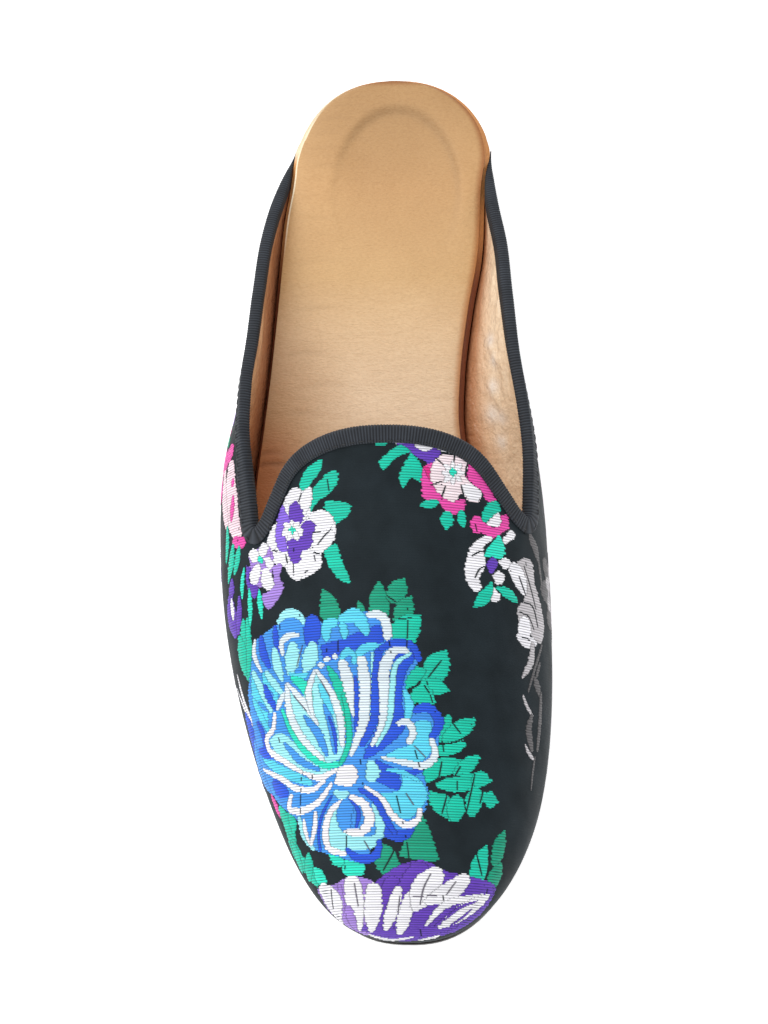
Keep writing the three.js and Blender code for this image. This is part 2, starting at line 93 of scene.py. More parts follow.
# The photo's camera, in the shoe's frame and in photo pixels
EYE = np.array([47.7, -181.5, 691.15])
PHOTO_TILT = math.radians(75)
PHOTO_FOCAL = 2488.5
PHOTO_CENTRE = np.array([384, 512])
PHOTO_LONG_SIDE = 1024
SHOE_CENTRE_PX = np.array([210, 528])
SENSOR = 36

# Small steps for slopes, and limits that keep divisions safe
SMALL_STEP = 1e-3
LAST_STEP = 1e-4
SMALL_AREA = 1e-3
TINY = 1e-12


# Smooth curves through the rows of a table
def smooth_curve(x, y):
    x, y = np.asarray(x, float), np.asarray(y, float)
    step = np.diff(x)
    rate = np.diff(y) / step
    inner = (rate[:-1] * step[1:] + rate[1:] * step[:-1]) / (step[:-1] + step[1:])
    slope = np.concatenate([rate[:1], inner, rate[-1:]])

    def curve(at):
        at = np.asarray(at, float)
        k = np.clip(np.searchsorted(x, at, side="right") - 1, 0, len(step) - 1)
        t = (at - x[k]) / step[k]
        start = (1 + 2 * t) * (1 - t) ** 2 * y[k] + t * (1 - t) ** 2 * step[k] * slope[k]
        end = t * t * (3 - 2 * t) * y[k + 1] + t * t * (t - 1) * step[k] * slope[k + 1]
        return start + end

    return curve


def table(names, rows):
    rows = np.array(rows, float)
    return {name: smooth_curve(rows[:, 0], rows[:, k + 1]) for k, name in enumerate(names)}


# Cross sections of the upper: station, then offset, widths and heights in mm, and the lateral sag
SECTIONS = table(
    [
        "axis", "lat_feather", "lat_wide", "lat_rise", "lat_sag",
        "med_feather", "med_wide", "med_rise", "ridge",
    ],
    [
        [0, 0, 28.4, 28.6, 3, 0.06, 28.2, 28.2, 3, 76],
        [20, 0, 28.6, 28.8, 3, 0.06, 28.4, 28.4, 3, 76],
        [30, 0, 30.2, 31, 6, 0.06, 28, 28.4, 6, 78],
        [42, 0, 32.8, 34, 12, 0.06, 28.2, 30.2, 12, 80],
        [55, 0, 34, 36, 17.5, 0.06, 27.6, 32.8, 17.5, 80],
        [72, -0.4, 34.8, 36.8, 22.5, 0.06, 25.2, 35, 22.5, 79],
        [90, -0.8, 36, 37.6, 23.5, 0.08, 23.4, 37.2, 24.5, 77],
        [105, -1, 37.6, 40.2, 21.5, 0.08, 23.4, 40.2, 24.5, 72],
        [120, -1.1, 39.4, 44, 19, 0.09, 27, 43.4, 22, 66],
        [135, -1, 40.4, 45.2, 17.5, 0.09, 35, 45.2, 19.5, 60],
        [150, -0.2, 40.8, 45.4, 16.5, 0.08, 39.6, 45.4, 17.5, 55],
        [167, 1.1, 41, 45.4, 14.5, 0.06, 41, 45.4, 15, 50.5],
        [183, 2.8, 41.2, 45.4, 12.5, 0.04, 41.4, 45.4, 12.8, 47],
        [200, 4.7, 41.6, 45.4, 10.5, 0.02, 41.6, 45.4, 10.8, 44.5],
        [216, 6.3, 41.8, 45.4, 9, 0, 41.8, 45.4, 9, 43],
        [232, 7, 42.2, 45.4, 7.6, 0, 42.2, 45.4, 7.6, 43],
        [250, 7.1, 42.6, 45.4, 6, 0, 42.6, 45.4, 6, 44],
    ],
)

# Height of the topline above the ground on each side
TOPLINE = table(
    ["lateral", "medial"],
    [
        [20, 15.8, 15.8],
        [25, 18, 18],
        [32, 21.2, 21],
        [42, 25.6, 25.2],
        [55, 30.6, 30],
        [72, 35.2, 34.6],
        [90, 39.6, 37.6],
        [105, 43.7, 38.6],
        [120, 45.1, 38.8],
        [130, 44.1, 38.6],
        [142, 42.2, 38],
    ],
)

# How far the board and the sock lie inside the feather line
INSETS = table(
    ["board", "sock"],
    [
        [0, -0.3, 0.9],
        [14, -0.3, 0.9],
        [19, -0.2, 1.1],
        [25, 1, 1.4],
        [37, 1.7, 2.7],
        [54, 1.95, 2.9],
        [90, 1.95, 2.7],
        [250, 1.95, 2.7],
    ],
)


# Sole profile and outlines
def lerp(a, b, t):
    return a + (b - a) * t


def smoothstep(x, low, high):
    t = np.clip((x - low) / (high - low), 0, 1)
    return t * t * (3 - 2 * t)


def sole_bottom(station):
    station = np.asarray(station, float)
    seat_slope = (SEAT_FRONT_HEIGHT - SEAT_BACK_HEIGHT) / ARCH_START
    span = TREAD_START - ARCH_START
    t = np.clip((station - ARCH_START) / span, 0, 1)
    fall = SEAT_FRONT_HEIGHT * (2 * t**3 - 3 * t**2 + 1)
    arch = fall + seat_slope * span * (t**3 - 2 * t**2 + t)
    spring = TOE_SPRING * np.clip((station - TREAD_END) / (LENGTH - TREAD_END), 0, None) ** 2
    return np.where(station < ARCH_START, SEAT_BACK_HEIGHT + seat_slope * station, arch + spring)


def sole_top(station):
    return sole_bottom(station) + SOLE_THICK


def feather_height(station):
    return sole_top(station) + GAP


def board_top(station):
    return feather_height(station) + BOARD_THICK


def sock_bottom(station):
    return board_top(station) + GAP


def toe_cosine(station, tip):
    t = np.clip((station - BALL_STATION) / (tip - BALL_STATION), 0, 1)
    return np.sqrt(1 - t * t)


def toe_share(station, tip):
    return toe_cosine(station, tip) ** (2 / TOE_SQUARENESS)


def heel_share(station, back):
    t = np.clip((HEEL_ROUND - station) / (HEEL_ROUND - back), 0, 1)
    return (1 - t * t) ** (1 / HEEL_SQUARENESS)


def sole_edges(station, inside, back, tip):
    axis = SECTIONS["axis"](station)
    share = heel_share(station, back) * toe_share(station, tip)
    lateral = axis - (SECTIONS["lat_feather"](station) + SOLE_MARGIN - inside) * share
    medial = axis + (SECTIONS["med_feather"](station) + SOLE_MARGIN - inside) * share
    return lateral, medial


# Outer face of the upper. Girth runs from -2 at the lateral feather line through 0 on the ridge to 2.
def measures(station, medial):
    def pick(name):
        return np.where(medial, SECTIONS["med_" + name](station), SECTIONS["lat_" + name](station))

    share = toe_share(station, LENGTH)
    foot = feather_height(station)
    wide_height = foot + pick("rise")
    crown = (SECTIONS["ridge"](station) - wide_height) * toe_cosine(station, LENGTH) ** CROWN_CLOSING
    sag = np.where(medial, 0, SECTIONS["lat_sag"](station))
    return pick("feather") * share, pick("wide") * share, foot, wide_height, crown, sag


def crown_share(angle, sag):
    return np.sin(angle) - sag * np.sin(2 * angle) ** 2


def face(station, girth):
    station, girth = np.broadcast_arrays(np.asarray(station, float), np.asarray(girth, float))
    medial = girth > 0
    side = np.where(medial, 1.0, -1.0)
    feather, wide, foot, wide_height, crown, sag = measures(station, medial)
    reach = np.abs(girth)
    low = reach > 1
    angle = np.clip(1 - reach, 0, 1) * math.pi / 2
    climb = np.clip(2 - reach, 0, 1)
    half = np.where(low, lerp(feather, wide, np.sin(climb * math.pi / 2)), wide * np.cos(angle))
    height = np.where(low, lerp(foot, wide_height, climb), wide_height + crown * crown_share(angle, sag))
    toeward = np.clip((station - BALL_STATION) / (LENGTH - BALL_STATION), 0, 1)
    setback = np.where(low, FEATHER_TIP_SETBACK * toeward * (1 - climb), 0)
    x = SECTIONS["axis"](station) + side * half
    return np.stack([x, LENGTH / 2 - station + setback, height], axis=-1)


def unit(vectors):
    return vectors / np.maximum(np.linalg.norm(vectors, axis=-1, keepdims=True), TINY)


def face_frame(station, girth):
    ahead = np.minimum(np.asarray(station, float) + SMALL_STEP, LENGTH - LAST_STEP)
    along = (face(ahead, girth) - face(ahead - 2 * SMALL_STEP, girth)) / (2 * SMALL_STEP)
    around = (face(station, girth + SMALL_STEP) - face(station, girth - SMALL_STEP)) / (2 * SMALL_STEP)
    return along, around, unit(np.cross(along, around))


def off_face(station, girth, depth):
    normal = face_frame(station, girth)[2]
    return face(station, girth) + normal * np.asarray(depth, float)[..., None]


def skewed(row, girth):
    reach = np.clip(1 - np.abs(row - NOTCH) / SKEW_REACH, 0, 1)
    amount = NOTCH_SKEW * smoothstep(reach, 0, 1)
    return row - amount * np.sin(np.clip(girth, -1, 1) * math.pi / 2)


def wall_at(row):
    return lerp(WALL_AT_END, WALL, smoothstep(row, QUARTER_END, QUARTER_END + SKIVE_LENGTH))


# Topline: its path is cut into steps along the quarters, the lobe's round and sides, and the notches
QUARTER_STEPS = 400
LOBE_STEPS = 160
LOBE_SIDE_STEPS = 60
NOTCH_STEPS = 40
HALVINGS = 40


def crown_angle(share, sag):
    low, high = 0.0, math.pi / 2
    for _ in range(HALVINGS):
        middle = (low + high) / 2
        if crown_share(middle, sag) < share:
            low = middle
        else:
            high = middle
    return low


def quarter_girth(side, row):
    _, _, foot, wide_height, crown, sag = (float(m) for m in measures(row, side > 0))
    height = float(TOPLINE["medial" if side > 0 else "lateral"](row))
    above = (height - wide_height) / crown
    if above <= 0:
        return 2 - (height - foot) / (wide_height - foot)
    return 1 - crown_angle(above, sag) * 2 / math.pi


def girth_at(row, x):
    axis = float(SECTIONS["axis"](row))
    side = 1 if x > axis else -1
    wide = float(measures(row, side > 0)[1])
    return side * math.asin(min(abs(x - axis) / wide, 1)) * 2 / math.pi


def lobe_side_girth(side, row):
    at_notch, slope = LOBE_SIDE[side]
    return girth_at(row, at_notch + slope * (NOTCH - row))


def notch_girth(side):
    return (quarter_girth(side, NOTCH) * side + lobe_side_girth(side, NOTCH)) / 2


NOTCH_GIRTH = {side: notch_girth(side) for side in (-1, 1)}


def notch_opening(row):
    left = min(max((NOTCH - row) / NOTCH_ROUND, 0), 1)
    return math.sqrt(1 - (1 - left) ** 2)


def quarter_edge(side, row):
    return lerp(NOTCH_GIRTH[side], side * quarter_girth(side, row), notch_opening(row))


def lobe_edge(side, row):
    t = min(max((LOBE_ROUND_START - row) / (LOBE_ROUND_START - LOBE_TOP), 0), 1)
    share = (1 - t**LOBE_ALONG) ** (1 / LOBE_ACROSS)
    rounded = lerp(girth_at(row, LOBE_CENTRE), lobe_side_girth(side, row), share)
    return lerp(NOTCH_GIRTH[side], rounded, notch_opening(row))


def notch_rows(count):
    angles = np.linspace(0, math.pi / 2, count)
    return list(NOTCH - NOTCH_ROUND * (1 - np.sin(angles)))


def quarter_rows(count, notch_count):
    return list(np.linspace(QUARTER_END, NOTCH - NOTCH_ROUND, count))[:-1] + notch_rows(notch_count)


def lobe_rows(count, straight, notch_count):
    share = np.sin(np.linspace(0, math.pi / 2, count))
    along = (1 - share**LOBE_ACROSS) ** (1 / LOBE_ALONG)
    rounded = list(LOBE_ROUND_START - along * (LOBE_ROUND_START - LOBE_TOP))
    side = list(np.linspace(LOBE_ROUND_START, NOTCH - NOTCH_ROUND, straight))[1:-1]
    return rounded + side + notch_rows(notch_count)


def topline_path():
    quarter = quarter_rows(QUARTER_STEPS, NOTCH_STEPS)
    lobe = lobe_rows(LOBE_STEPS, LOBE_SIDE_STEPS, NOTCH_STEPS)
    path = [(row, quarter_edge(-1, row)) for row in quarter]
    path += [(row, lobe_edge(-1, row)) for row in reversed(lobe[:-1])]
    path += [(row, lobe_edge(1, row)) for row in lobe[1:-1]]
    path += [(row, quarter_edge(1, row)) for row in reversed(quarter)]
    path = np.array(path)
    return np.stack([skewed(path[:, 0], path[:, 1]), path[:, 1]], axis=-1)


# Cloth coordinates: across is the arc from the ridge line, along is the arc down the ridge line
GIRTH_STEPS = 241
RIDGE_STEPS = 491
RIDGE_TOE_STEPS = 120
RIDGE_TOE_START = TOE_CLOSE + 0.1
GIRTHS = np.linspace(-FEATHER_GIRTH, FEATHER_GIRTH, GIRTH_STEPS)


def path_lengths(points):
    return np.append(0, np.cumsum(np.linalg.norm(np.diff(points, axis=0), axis=1)))


RIDGE_STATIONS = np.append(
    np.linspace(0, TOE_CLOSE, RIDGE_STEPS), np.linspace(RIDGE_TOE_START, TOE_LAST, RIDGE_TOE_STEPS)
)
RIDGE_ARCS = path_lengths(face(RIDGE_STATIONS, 0.0))


def along_of(station):
    return np.interp(station, RIDGE_STATIONS, RIDGE_ARCS)


def station_of(along):
    return np.interp(along, RIDGE_ARCS, RIDGE_STATIONS)


def girth_arcs(stations):
    points = face(np.asarray(stations, float)[:, None], GIRTHS[None, :])
    arcs = np.cumsum(np.linalg.norm(np.diff(points, axis=1), axis=2), axis=1)
    arcs = np.concatenate([np.zeros((len(arcs), 1)), arcs], axis=1)
    return arcs - arcs[:, len(GIRTHS) // 2][:, None]


def cloth_of(stations, girths):
    arcs = girth_arcs(stations)
    across = [np.interp(girth, GIRTHS, arc) for girth, arc in zip(girths, arcs)]
    return np.stack([across, along_of(stations)], axis=-1)


# Where a photo pixel falls on the upper
VIEW_BACK = np.array([0, -math.cos(PHOTO_TILT), math.sin(PHOTO_TILT)])
VIEW_RIGHT = np.array([1.0, 0, 0])
VIEW_UP = np.array([0, math.sin(PHOTO_TILT), math.cos(PHOTO_TILT)])

# The search starts on a level plane, as if the upper were a half round, and moves by limited steps
SEARCH_HEIGHT = 35
SEARCH_HALF_WIDTH = 46
SEARCH_ACROSS = 0.98
SEARCH_START_TOE = TOE_LAST - 1
SEARCH_TOE = TOE_LAST - 0.2
SEARCH_GIRTH = 1.3
SEARCH_ROUNDS = 30
MOST_STATION_STEP = 6
MOST_GIRTH_STEP = 0.1


def photo_pixel(points):
    off = points - EYE
    depth = -(off @ VIEW_BACK)
    x = PHOTO_CENTRE[0] + PHOTO_FOCAL * (off @ VIEW_RIGHT) / depth
    y = PHOTO_CENTRE[1] - PHOTO_FOCAL * (off @ VIEW_UP) / depth
    return np.stack([x, y], axis=-1)


def search_start(pixels):
    ray = VIEW_RIGHT * (pixels[:, :1] - PHOTO_CENTRE[0]) - VIEW_UP * (pixels[:, 1:] - PHOTO_CENTRE[1])
    ray = ray - VIEW_BACK * PHOTO_FOCAL
    start = EYE + ray * ((SEARCH_HEIGHT - EYE[2]) / ray[:, 2])[:, None]
    station = np.clip(LENGTH / 2 - start[:, 1], QUARTER_END, SEARCH_START_TOE)
    across = (start[:, 0] - SECTIONS["axis"](station)) / SEARCH_HALF_WIDTH
    return station, np.arcsin(np.clip(across, -SEARCH_ACROSS, SEARCH_ACROSS)) * 2 / math.pi


def cloth_of_pixels(pixels):
    pixels = np.asarray(pixels, float)
    station, girth = search_start(pixels)
    for _ in range(SEARCH_ROUNDS):
        here = photo_pixel(face(station, girth))
        by_station = (photo_pixel(face(station + SMALL_STEP, girth)) - here) / SMALL_STEP
        by_girth = (photo_pixel(face(station, girth + SMALL_STEP)) - here) / SMALL_STEP
        miss = pixels - here
        area = by_station[:, 0] * by_girth[:, 1] - by_station[:, 1] * by_girth[:, 0]
        area = np.where(np.abs(area) < SMALL_AREA, SMALL_AREA, area)
        move = (miss[:, 0] * by_girth[:, 1] - miss[:, 1] * by_girth[:, 0]) / area
        turn = (by_station[:, 0] * miss[:, 1] - by_station[:, 1] * miss[:, 0]) / area
        move = np.clip(move, -MOST_STATION_STEP, MOST_STATION_STEP)
        turn = np.clip(turn, -MOST_GIRTH_STEP, MOST_GIRTH_STEP)
        station = np.clip(station + move, QUARTER_END, SEARCH_TOE)
        girth = np.clip(girth + turn, -SEARCH_GIRTH, SEARCH_GIRTH)
    return cloth_of(station, girth)


# Meshes
def new_piece(name, points, faces, material, replaces=None, smooth=True):
    mesh = bpy.data.meshes.new(name)
    mesh.from_pydata((np.asarray(points) * MM).tolist(), [], [list(f) for f in faces])
    mesh.polygons.foreach_set("use_smooth", [smooth] * len(mesh.polygons))
    mesh.materials.append(material)
    mesh.update()
    piece = bpy.data.objects.new(name, mesh)
    bpy.context.scene.collection.objects.link(piece)
    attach(piece, "root")
    if replaces:
        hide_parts(replaces)
    return piece


def add_uv(piece, name, values):
    layer = piece.data.uv_layers.new(name=name)
    corners = np.empty(len(piece.data.loops), int)
    piece.data.loops.foreach_get("vertex_index", corners)
    layer.data.foreach_set("uv", np.asarray(values, float)[corners].ravel())


def add_tone(piece, name, colours):
    layer = piece.data.color_attributes.new(name, "FLOAT_COLOR", "POINT")
    layer.data.foreach_set("color", np.column_stack([colours, np.ones(len(colours))]).ravel())


def strip_faces(rows, columns, ring=False):
    faces = []
    for i in range(rows - 1):
        for k in range(columns if ring else columns - 1):
            a, b = i * columns + k, i * columns + (k + 1) % columns
            faces.append((a, b, b + columns, a + columns))
    return faces


def tube_faces(rows, columns):
    faces = strip_faces(rows, columns, ring=True)
    faces.append(tuple(range(columns))[::-1])
    faces.append(tuple(range((rows - 1) * columns, rows * columns)))
    return faces


def open_edges(faces):
    edges = {}
    for corner in faces:
        for a, b in zip(corner, corner[1:] + corner[:1]):
            if (b, a) in edges:
                del edges[(b, a)]
            else:
                edges[(a, b)] = True
    return list(edges)


def shell(outer, inner, faces):
    count = len(outer)
    closed = [tuple(f) for f in faces]
    closed += [tuple(k + count for k in reversed(f)) for f in faces]
    closed += [(b, a, a + count, b + count) for a, b in open_edges([tuple(f) for f in faces])]
    return np.concatenate([outer, inner]), closed


# The upper as a sheet of (station, girth) points: columns up a wall and over the lobe, and rows
WALL_COLUMNS = 30
WALL_CROWDING = 1.3
LOBE_COLUMNS = 45
QUARTER_ROWS = (110, 8)
LOBE_ROWS = (20, 6, 8)
WAIST_ROWS = 8
TOE_ROWS = 70

# Decimals to which two points of the sheet are the same
STATION_DECIMALS = 5
GIRTH_DECIMALS = 6


def add_face(faces, corners):
    distinct = tuple(dict.fromkeys(corners))
    if len(distinct) > 2:
        faces.append(distinct)


def patch(points, faces, index, rows):
    ids = []
    for row in rows:
        line = []
        for station, girth in row:
            key = (round(station, STATION_DECIMALS), round(girth, GIRTH_DECIMALS))
            if key not in index:
                index[key] = len(points)
                points.append((station, girth))
            line.append(index[key])
        ids.append(line)
    for low, high in zip(ids, ids[1:]):
        for k in range(len(low) - 1):
            add_face(faces, (low[k], low[k + 1], high[k + 1], high[k]))
    return ids


def sheet_row(row, girths):
    return list(zip(skewed(row, girths), girths))


def toe_rows():
    closing = np.arcsin((TOE_LAST - BALL_STATION) / (LENGTH - BALL_STATION))
    toe = BALL_STATION + (LENGTH - BALL_STATION) * np.sin(np.linspace(0, closing, TOE_ROWS))
    return [*np.linspace(NOTCH, BALL_STATION, WAIST_ROWS)[:-1], *toe]


def upper_sheet():
    points, faces, index = [], [], {}
    wall = 1 - (1 - np.linspace(0, 1, WALL_COLUMNS)) ** WALL_CROWDING
    lobe = np.linspace(0, 1, LOBE_COLUMNS)
    for side in (-1, 1):
        rows = []
        for row in quarter_rows(*QUARTER_ROWS):
            girths = lerp(side * FEATHER_GIRTH, quarter_edge(side, row), wall)
            rows.append(sheet_row(row, girths)[::-side])
        patch(points, faces, index, rows)
    rows = []
    for row in lobe_rows(*LOBE_ROWS):
        rows.append(sheet_row(row, lerp(lobe_edge(-1, row), lobe_edge(1, row), lobe)))
    patch(points, faces, index, rows)
    left, right = NOTCH_GIRTH[-1], NOTCH_GIRTH[1]
    up, over = lerp(-FEATHER_GIRTH, left, wall), lerp(left, right, lobe)[1:]
    girths = np.concatenate([up, over, lerp(FEATHER_GIRTH, right, wall)[-2::-1]])
    last = patch(points, faces, index, [sheet_row(row, girths) for row in toe_rows()])[-1]
    for k in range(len(last) // 2):
        add_face(faces, (last[k], last[k + 1], last[-2 - k], last[-1 - k]))
    return np.array(points), faces


# Colours: screen values made linear
def rgb(red, green, blue):
    def linear(value):
        share = value / 255
        return share / 12.92 if share < 0.04045 else ((share + 0.055) / 1.055) ** 2.4

    return linear(red), linear(green), linear(blue), 1.0


def tint(red, green, blue):
    return np.array(rgb(red, green, blue)[:3])


def tone_along(rows, at):
    places = [place for place, _ in rows]
    colours = np.array([tint(*colour) for _, colour in rows])
    return np.stack([np.interp(at, places, colours[:, k]) for k in range(3)], axis=-1)


# Materials, with the mix node's colour sockets
WHITE = rgb(255, 255, 255)
MIX_COLOURS = (6, 7)
MIX_RESULT = 2

# Leather: noise scales in turns to the metre, bump depths in metres, and where its ramps start and end
GRAIN = 900.0
FOLD_GRAIN = GRAIN / 5
PATCHES = 28.0
PATCH_ENDS = (0.3, 0.7)
PORE_ENDS = (0.3, 0.6)
PORE_SHADE = rgb(244, 240, 236)
PORE_DEPTH = 0.0003
FOLD_DEPTH = 0.0006

# Weft: its pitch in mm, and the length in metres of one wave of the texture at scale 1
WEFT_PITCH = 0.72
WAVE_LENGTH = 0.314

# Satin and grosgrain, in the leather's units
WEFT_DEPTH = 0.0001
SATIN_PATCHES = 90.0
SATIN_SHADES = (rgb(21, 29, 33), rgb(31, 40, 45))
SLACK = 55.0
SLACK_DEPTH = 0.003
SCUFFS = 160.0
SCUFF_ENDS = (0.3, 0.66)
SCUFF_SHADE = rgb(214, 214, 214)


def new_material(name, **inputs):
    material = bpy.data.materials.new(name)
    material.use_nodes = True
    shader = material.node_tree.nodes["Principled BSDF"]
    for socket, value in inputs.items():
        shader.inputs[socket.replace("_", " ")].default_value = value
    return material, material.node_tree, shader


def add_node(tree, kind, **inputs):
    node = tree.nodes.new(kind)
    for socket, value in inputs.items():
        node.inputs[socket].default_value = value
    return node


def texture_space(tree, scale=(1, 1, 1)):
    place = add_node(tree, "ShaderNodeTexCoord")
    mapping = add_node(tree, "ShaderNodeMapping", Scale=scale)
    tree.links.new(place.outputs["Object"], mapping.inputs["Vector"])
    return mapping.outputs["Vector"]


def add_noise(tree, vector, scale, detail):
    noise = add_node(tree, "ShaderNodeTexNoise", Scale=scale, Detail=detail, Roughness=0.55)
    tree.links.new(vector, noise.inputs["Vector"])
    return noise.outputs["Fac"]


def add_ramp(tree, factor, ends, colours):
    ramp = add_node(tree, "ShaderNodeValToRGB")
    for element, position, colour in zip(ramp.color_ramp.elements, ends, colours):
        element.position = position
        element.color = colour
    tree.links.new(factor, ramp.inputs["Fac"])
    return ramp.outputs["Color"]


def add_attribute(tree, name):
    attribute = add_node(tree, "ShaderNodeAttribute")
    attribute.attribute_name = name
    return attribute.outputs["Color"]


def multiplied(tree, one, other):
    mix = add_node(tree, "ShaderNodeMix", Factor=1.0)
    mix.data_type = "RGBA"
    mix.blend_type = "MULTIPLY"
    for source, place in zip((one, other), MIX_COLOURS):
        tree.links.new(source, mix.inputs[place])
    return mix.outputs[MIX_RESULT]


def add_bump(tree, shader, height, strength, distance, before=None):
    bump = add_node(tree, "ShaderNodeBump", Strength=strength, Distance=distance)
    tree.links.new(height, bump.inputs["Height"])
    if before:
        tree.links.new(before, bump.inputs["Normal"])
    tree.links.new(bump.outputs["Normal"], shader.inputs["Normal"])
    return bump.outputs["Normal"]


def leather(
    name, dark, light, roughness, stretch=(1, 1, 1), tone=None, wrinkle=0.3, gloss=0.4, pebble=0.6,
    fold=FOLD_DEPTH,
):
    material, tree, shader = new_material(name, Roughness=roughness, Specular_IOR_Level=gloss)
    patches = add_noise(tree, texture_space(tree), PATCHES, detail=6.0)
    vector = texture_space(tree, stretch)
    colour = add_ramp(tree, patches, PATCH_ENDS, (dark, light))
    pores = add_noise(tree, vector, GRAIN, detail=3.0)
    colour = multiplied(tree, colour, add_ramp(tree, pores, PORE_ENDS, (PORE_SHADE, WHITE)))
    # The tone attribute carries painted shade and painted highlights where a piece has them
    if tone:
        colour = multiplied(tree, colour, add_attribute(tree, tone))
    tree.links.new(colour, shader.inputs["Base Color"])
    pebbled = add_bump(tree, shader, pores, pebble, PORE_DEPTH)
    folds = add_noise(tree, vector, FOLD_GRAIN, detail=4.0)
    add_bump(tree, shader, folds, wrinkle, fold, before=pebbled)
    return material


def satin():
    material, tree, shader = new_material("black_satin", Roughness=0.55, Specular_IOR_Level=0.12)
    place = add_node(tree, "ShaderNodeUVMap")
    place.uv_map = "Cloth"
    cloth = place.outputs["UV"]
    scale = WAVE_LENGTH / (WEFT_PITCH * MM)
    weft = add_node(tree, "ShaderNodeTexWave", Scale=scale, Distortion=1.2, Detail=3.0)
    weft.bands_direction = "Y"
    tree.links.new(cloth, weft.inputs["Vector"])
    patches = add_noise(tree, cloth, SATIN_PATCHES, detail=5.0)
    colour = add_ramp(tree, patches, PATCH_ENDS, SATIN_SHADES)
    tree.links.new(colour, shader.inputs["Base Color"])
    weave = add_bump(tree, shader, weft.outputs["Fac"], strength=0.25, distance=WEFT_DEPTH)
    slack = add_noise(tree, cloth, SLACK, detail=2.0)
    add_bump(tree, shader, slack, strength=0.5, distance=SLACK_DEPTH, before=weave)
    return material


def floss():
    material, tree, shader = new_material("brocade_floss", Roughness=0.5, Specular_IOR_Level=0.3)
    # The floss colour carries painted shade and painted highlights from the floats' tones
    tree.links.new(add_attribute(tree, "Floss"), shader.inputs["Base Color"])
    return material


def grosgrain():
    material, tree, shader = new_material("black_grosgrain", Roughness=0.65, Specular_IOR_Level=0.25)
    patches = add_noise(tree, texture_space(tree), SCUFFS, detail=5.0)
    colour = add_ramp(tree, patches, SCUFF_ENDS, (SCUFF_SHADE, WHITE))
    # The rib colours are painted highlight on the crests and painted shade in the grooves
    colour = multiplied(tree, colour, add_attribute(tree, "Rib"))
    tree.links.new(colour, shader.inputs["Base Color"])
    return material


def thread_black():
    return new_material("black_thread", Base_Color=rgb(26, 28, 32), Roughness=0.6)[0]


# Weave of the brocade, in mm and shares: a float is a raised run of weft whose ends dip into the cloth, with
# painted shade where they dip
FLOAT_HEIGHT = 0.14
FLOAT_STEP = 2.4
FLOAT_DIP = 0.3
DIP_HEIGHT = 0.3
DIP_SHADE = 0.45
SHORTEST_FLOAT = 0.15
TOE_CLEAR = 0.05

# Ends of the floats: every other weft reaches further, and each is pulled by chance
END_FEATHER = 0.36
FULL_FEATHER = 3
LONGER_WEFT = 0.3
END_PULL = 0.6
WEFT_SEED = 7919
PLACE_SEED = 3

# Lines of binding warp over the long floats: how far apart, how they sway and where they show
BIND_SPACING = 5.6
BIND_MARGIN = 0.8
BIND_GAP = 0.24
BIND_SWAY = 1.6
SWAY_LENGTH = 9
SWAY_TURN = 1.7
SHOW_LENGTH = 7
SHOW_TURN = 2.3
SHOW_LEVEL = 0.1

# How much the wefts and the floats differ in tone
WEFT_SHADES = (0.86, 1.06)
FLOAT_SHADES = (0.94, 1.04)

# Colours of the threads. A vein lets the ground show.
THREADS = {
    "white": tint(244, 243, 249),
    "pearl": tint(222, 236, 245),
    "ice": tint(158, 236, 246),
    "sky": tint(90, 214, 244),
    "azure": tint(64, 152, 240),
    "blue": tint(30, 84, 220),
    "mint": tint(36, 226, 196),
    "green": tint(2, 200, 170),
    "fern": tint(2, 158, 124),
    "purple": tint(100, 60, 184),
    "violet": tint(138, 104, 224),
    "lilac": tint(166, 132, 218),
    "magenta": tint(236, 76, 172),
    "hot": tint(226, 36, 136),
    "pink": tint(242, 214, 224),
    "blush": tint(248, 230, 236),
    "silver": tint(196, 192, 196),
    "dim": tint(96, 94, 96),
    "vein": tint(14, 44, 42),
    "shade": tint(112, 106, 122),
}

# Widths of the thin lines in the charts
LEAF_VEIN = (0.25, 0.35, 0.25)
FINE_VEIN = (0.25, 0.3, 0.25)
CUT = (0.3, 0.4, 0.2)
SLIT = (0.3, 0.4, 0.3)
SHADE_LINE = (0.2, 0.25, 0.2)


# Rows of a chart with the same thread and widths
def strokes(thread, widths, *paths):
    return [(thread, *widths, *path) for path in paths]


def star(thread, widths, centre, *tips):
    return strokes(thread, widths, *[(centre, tip) for tip in tips])


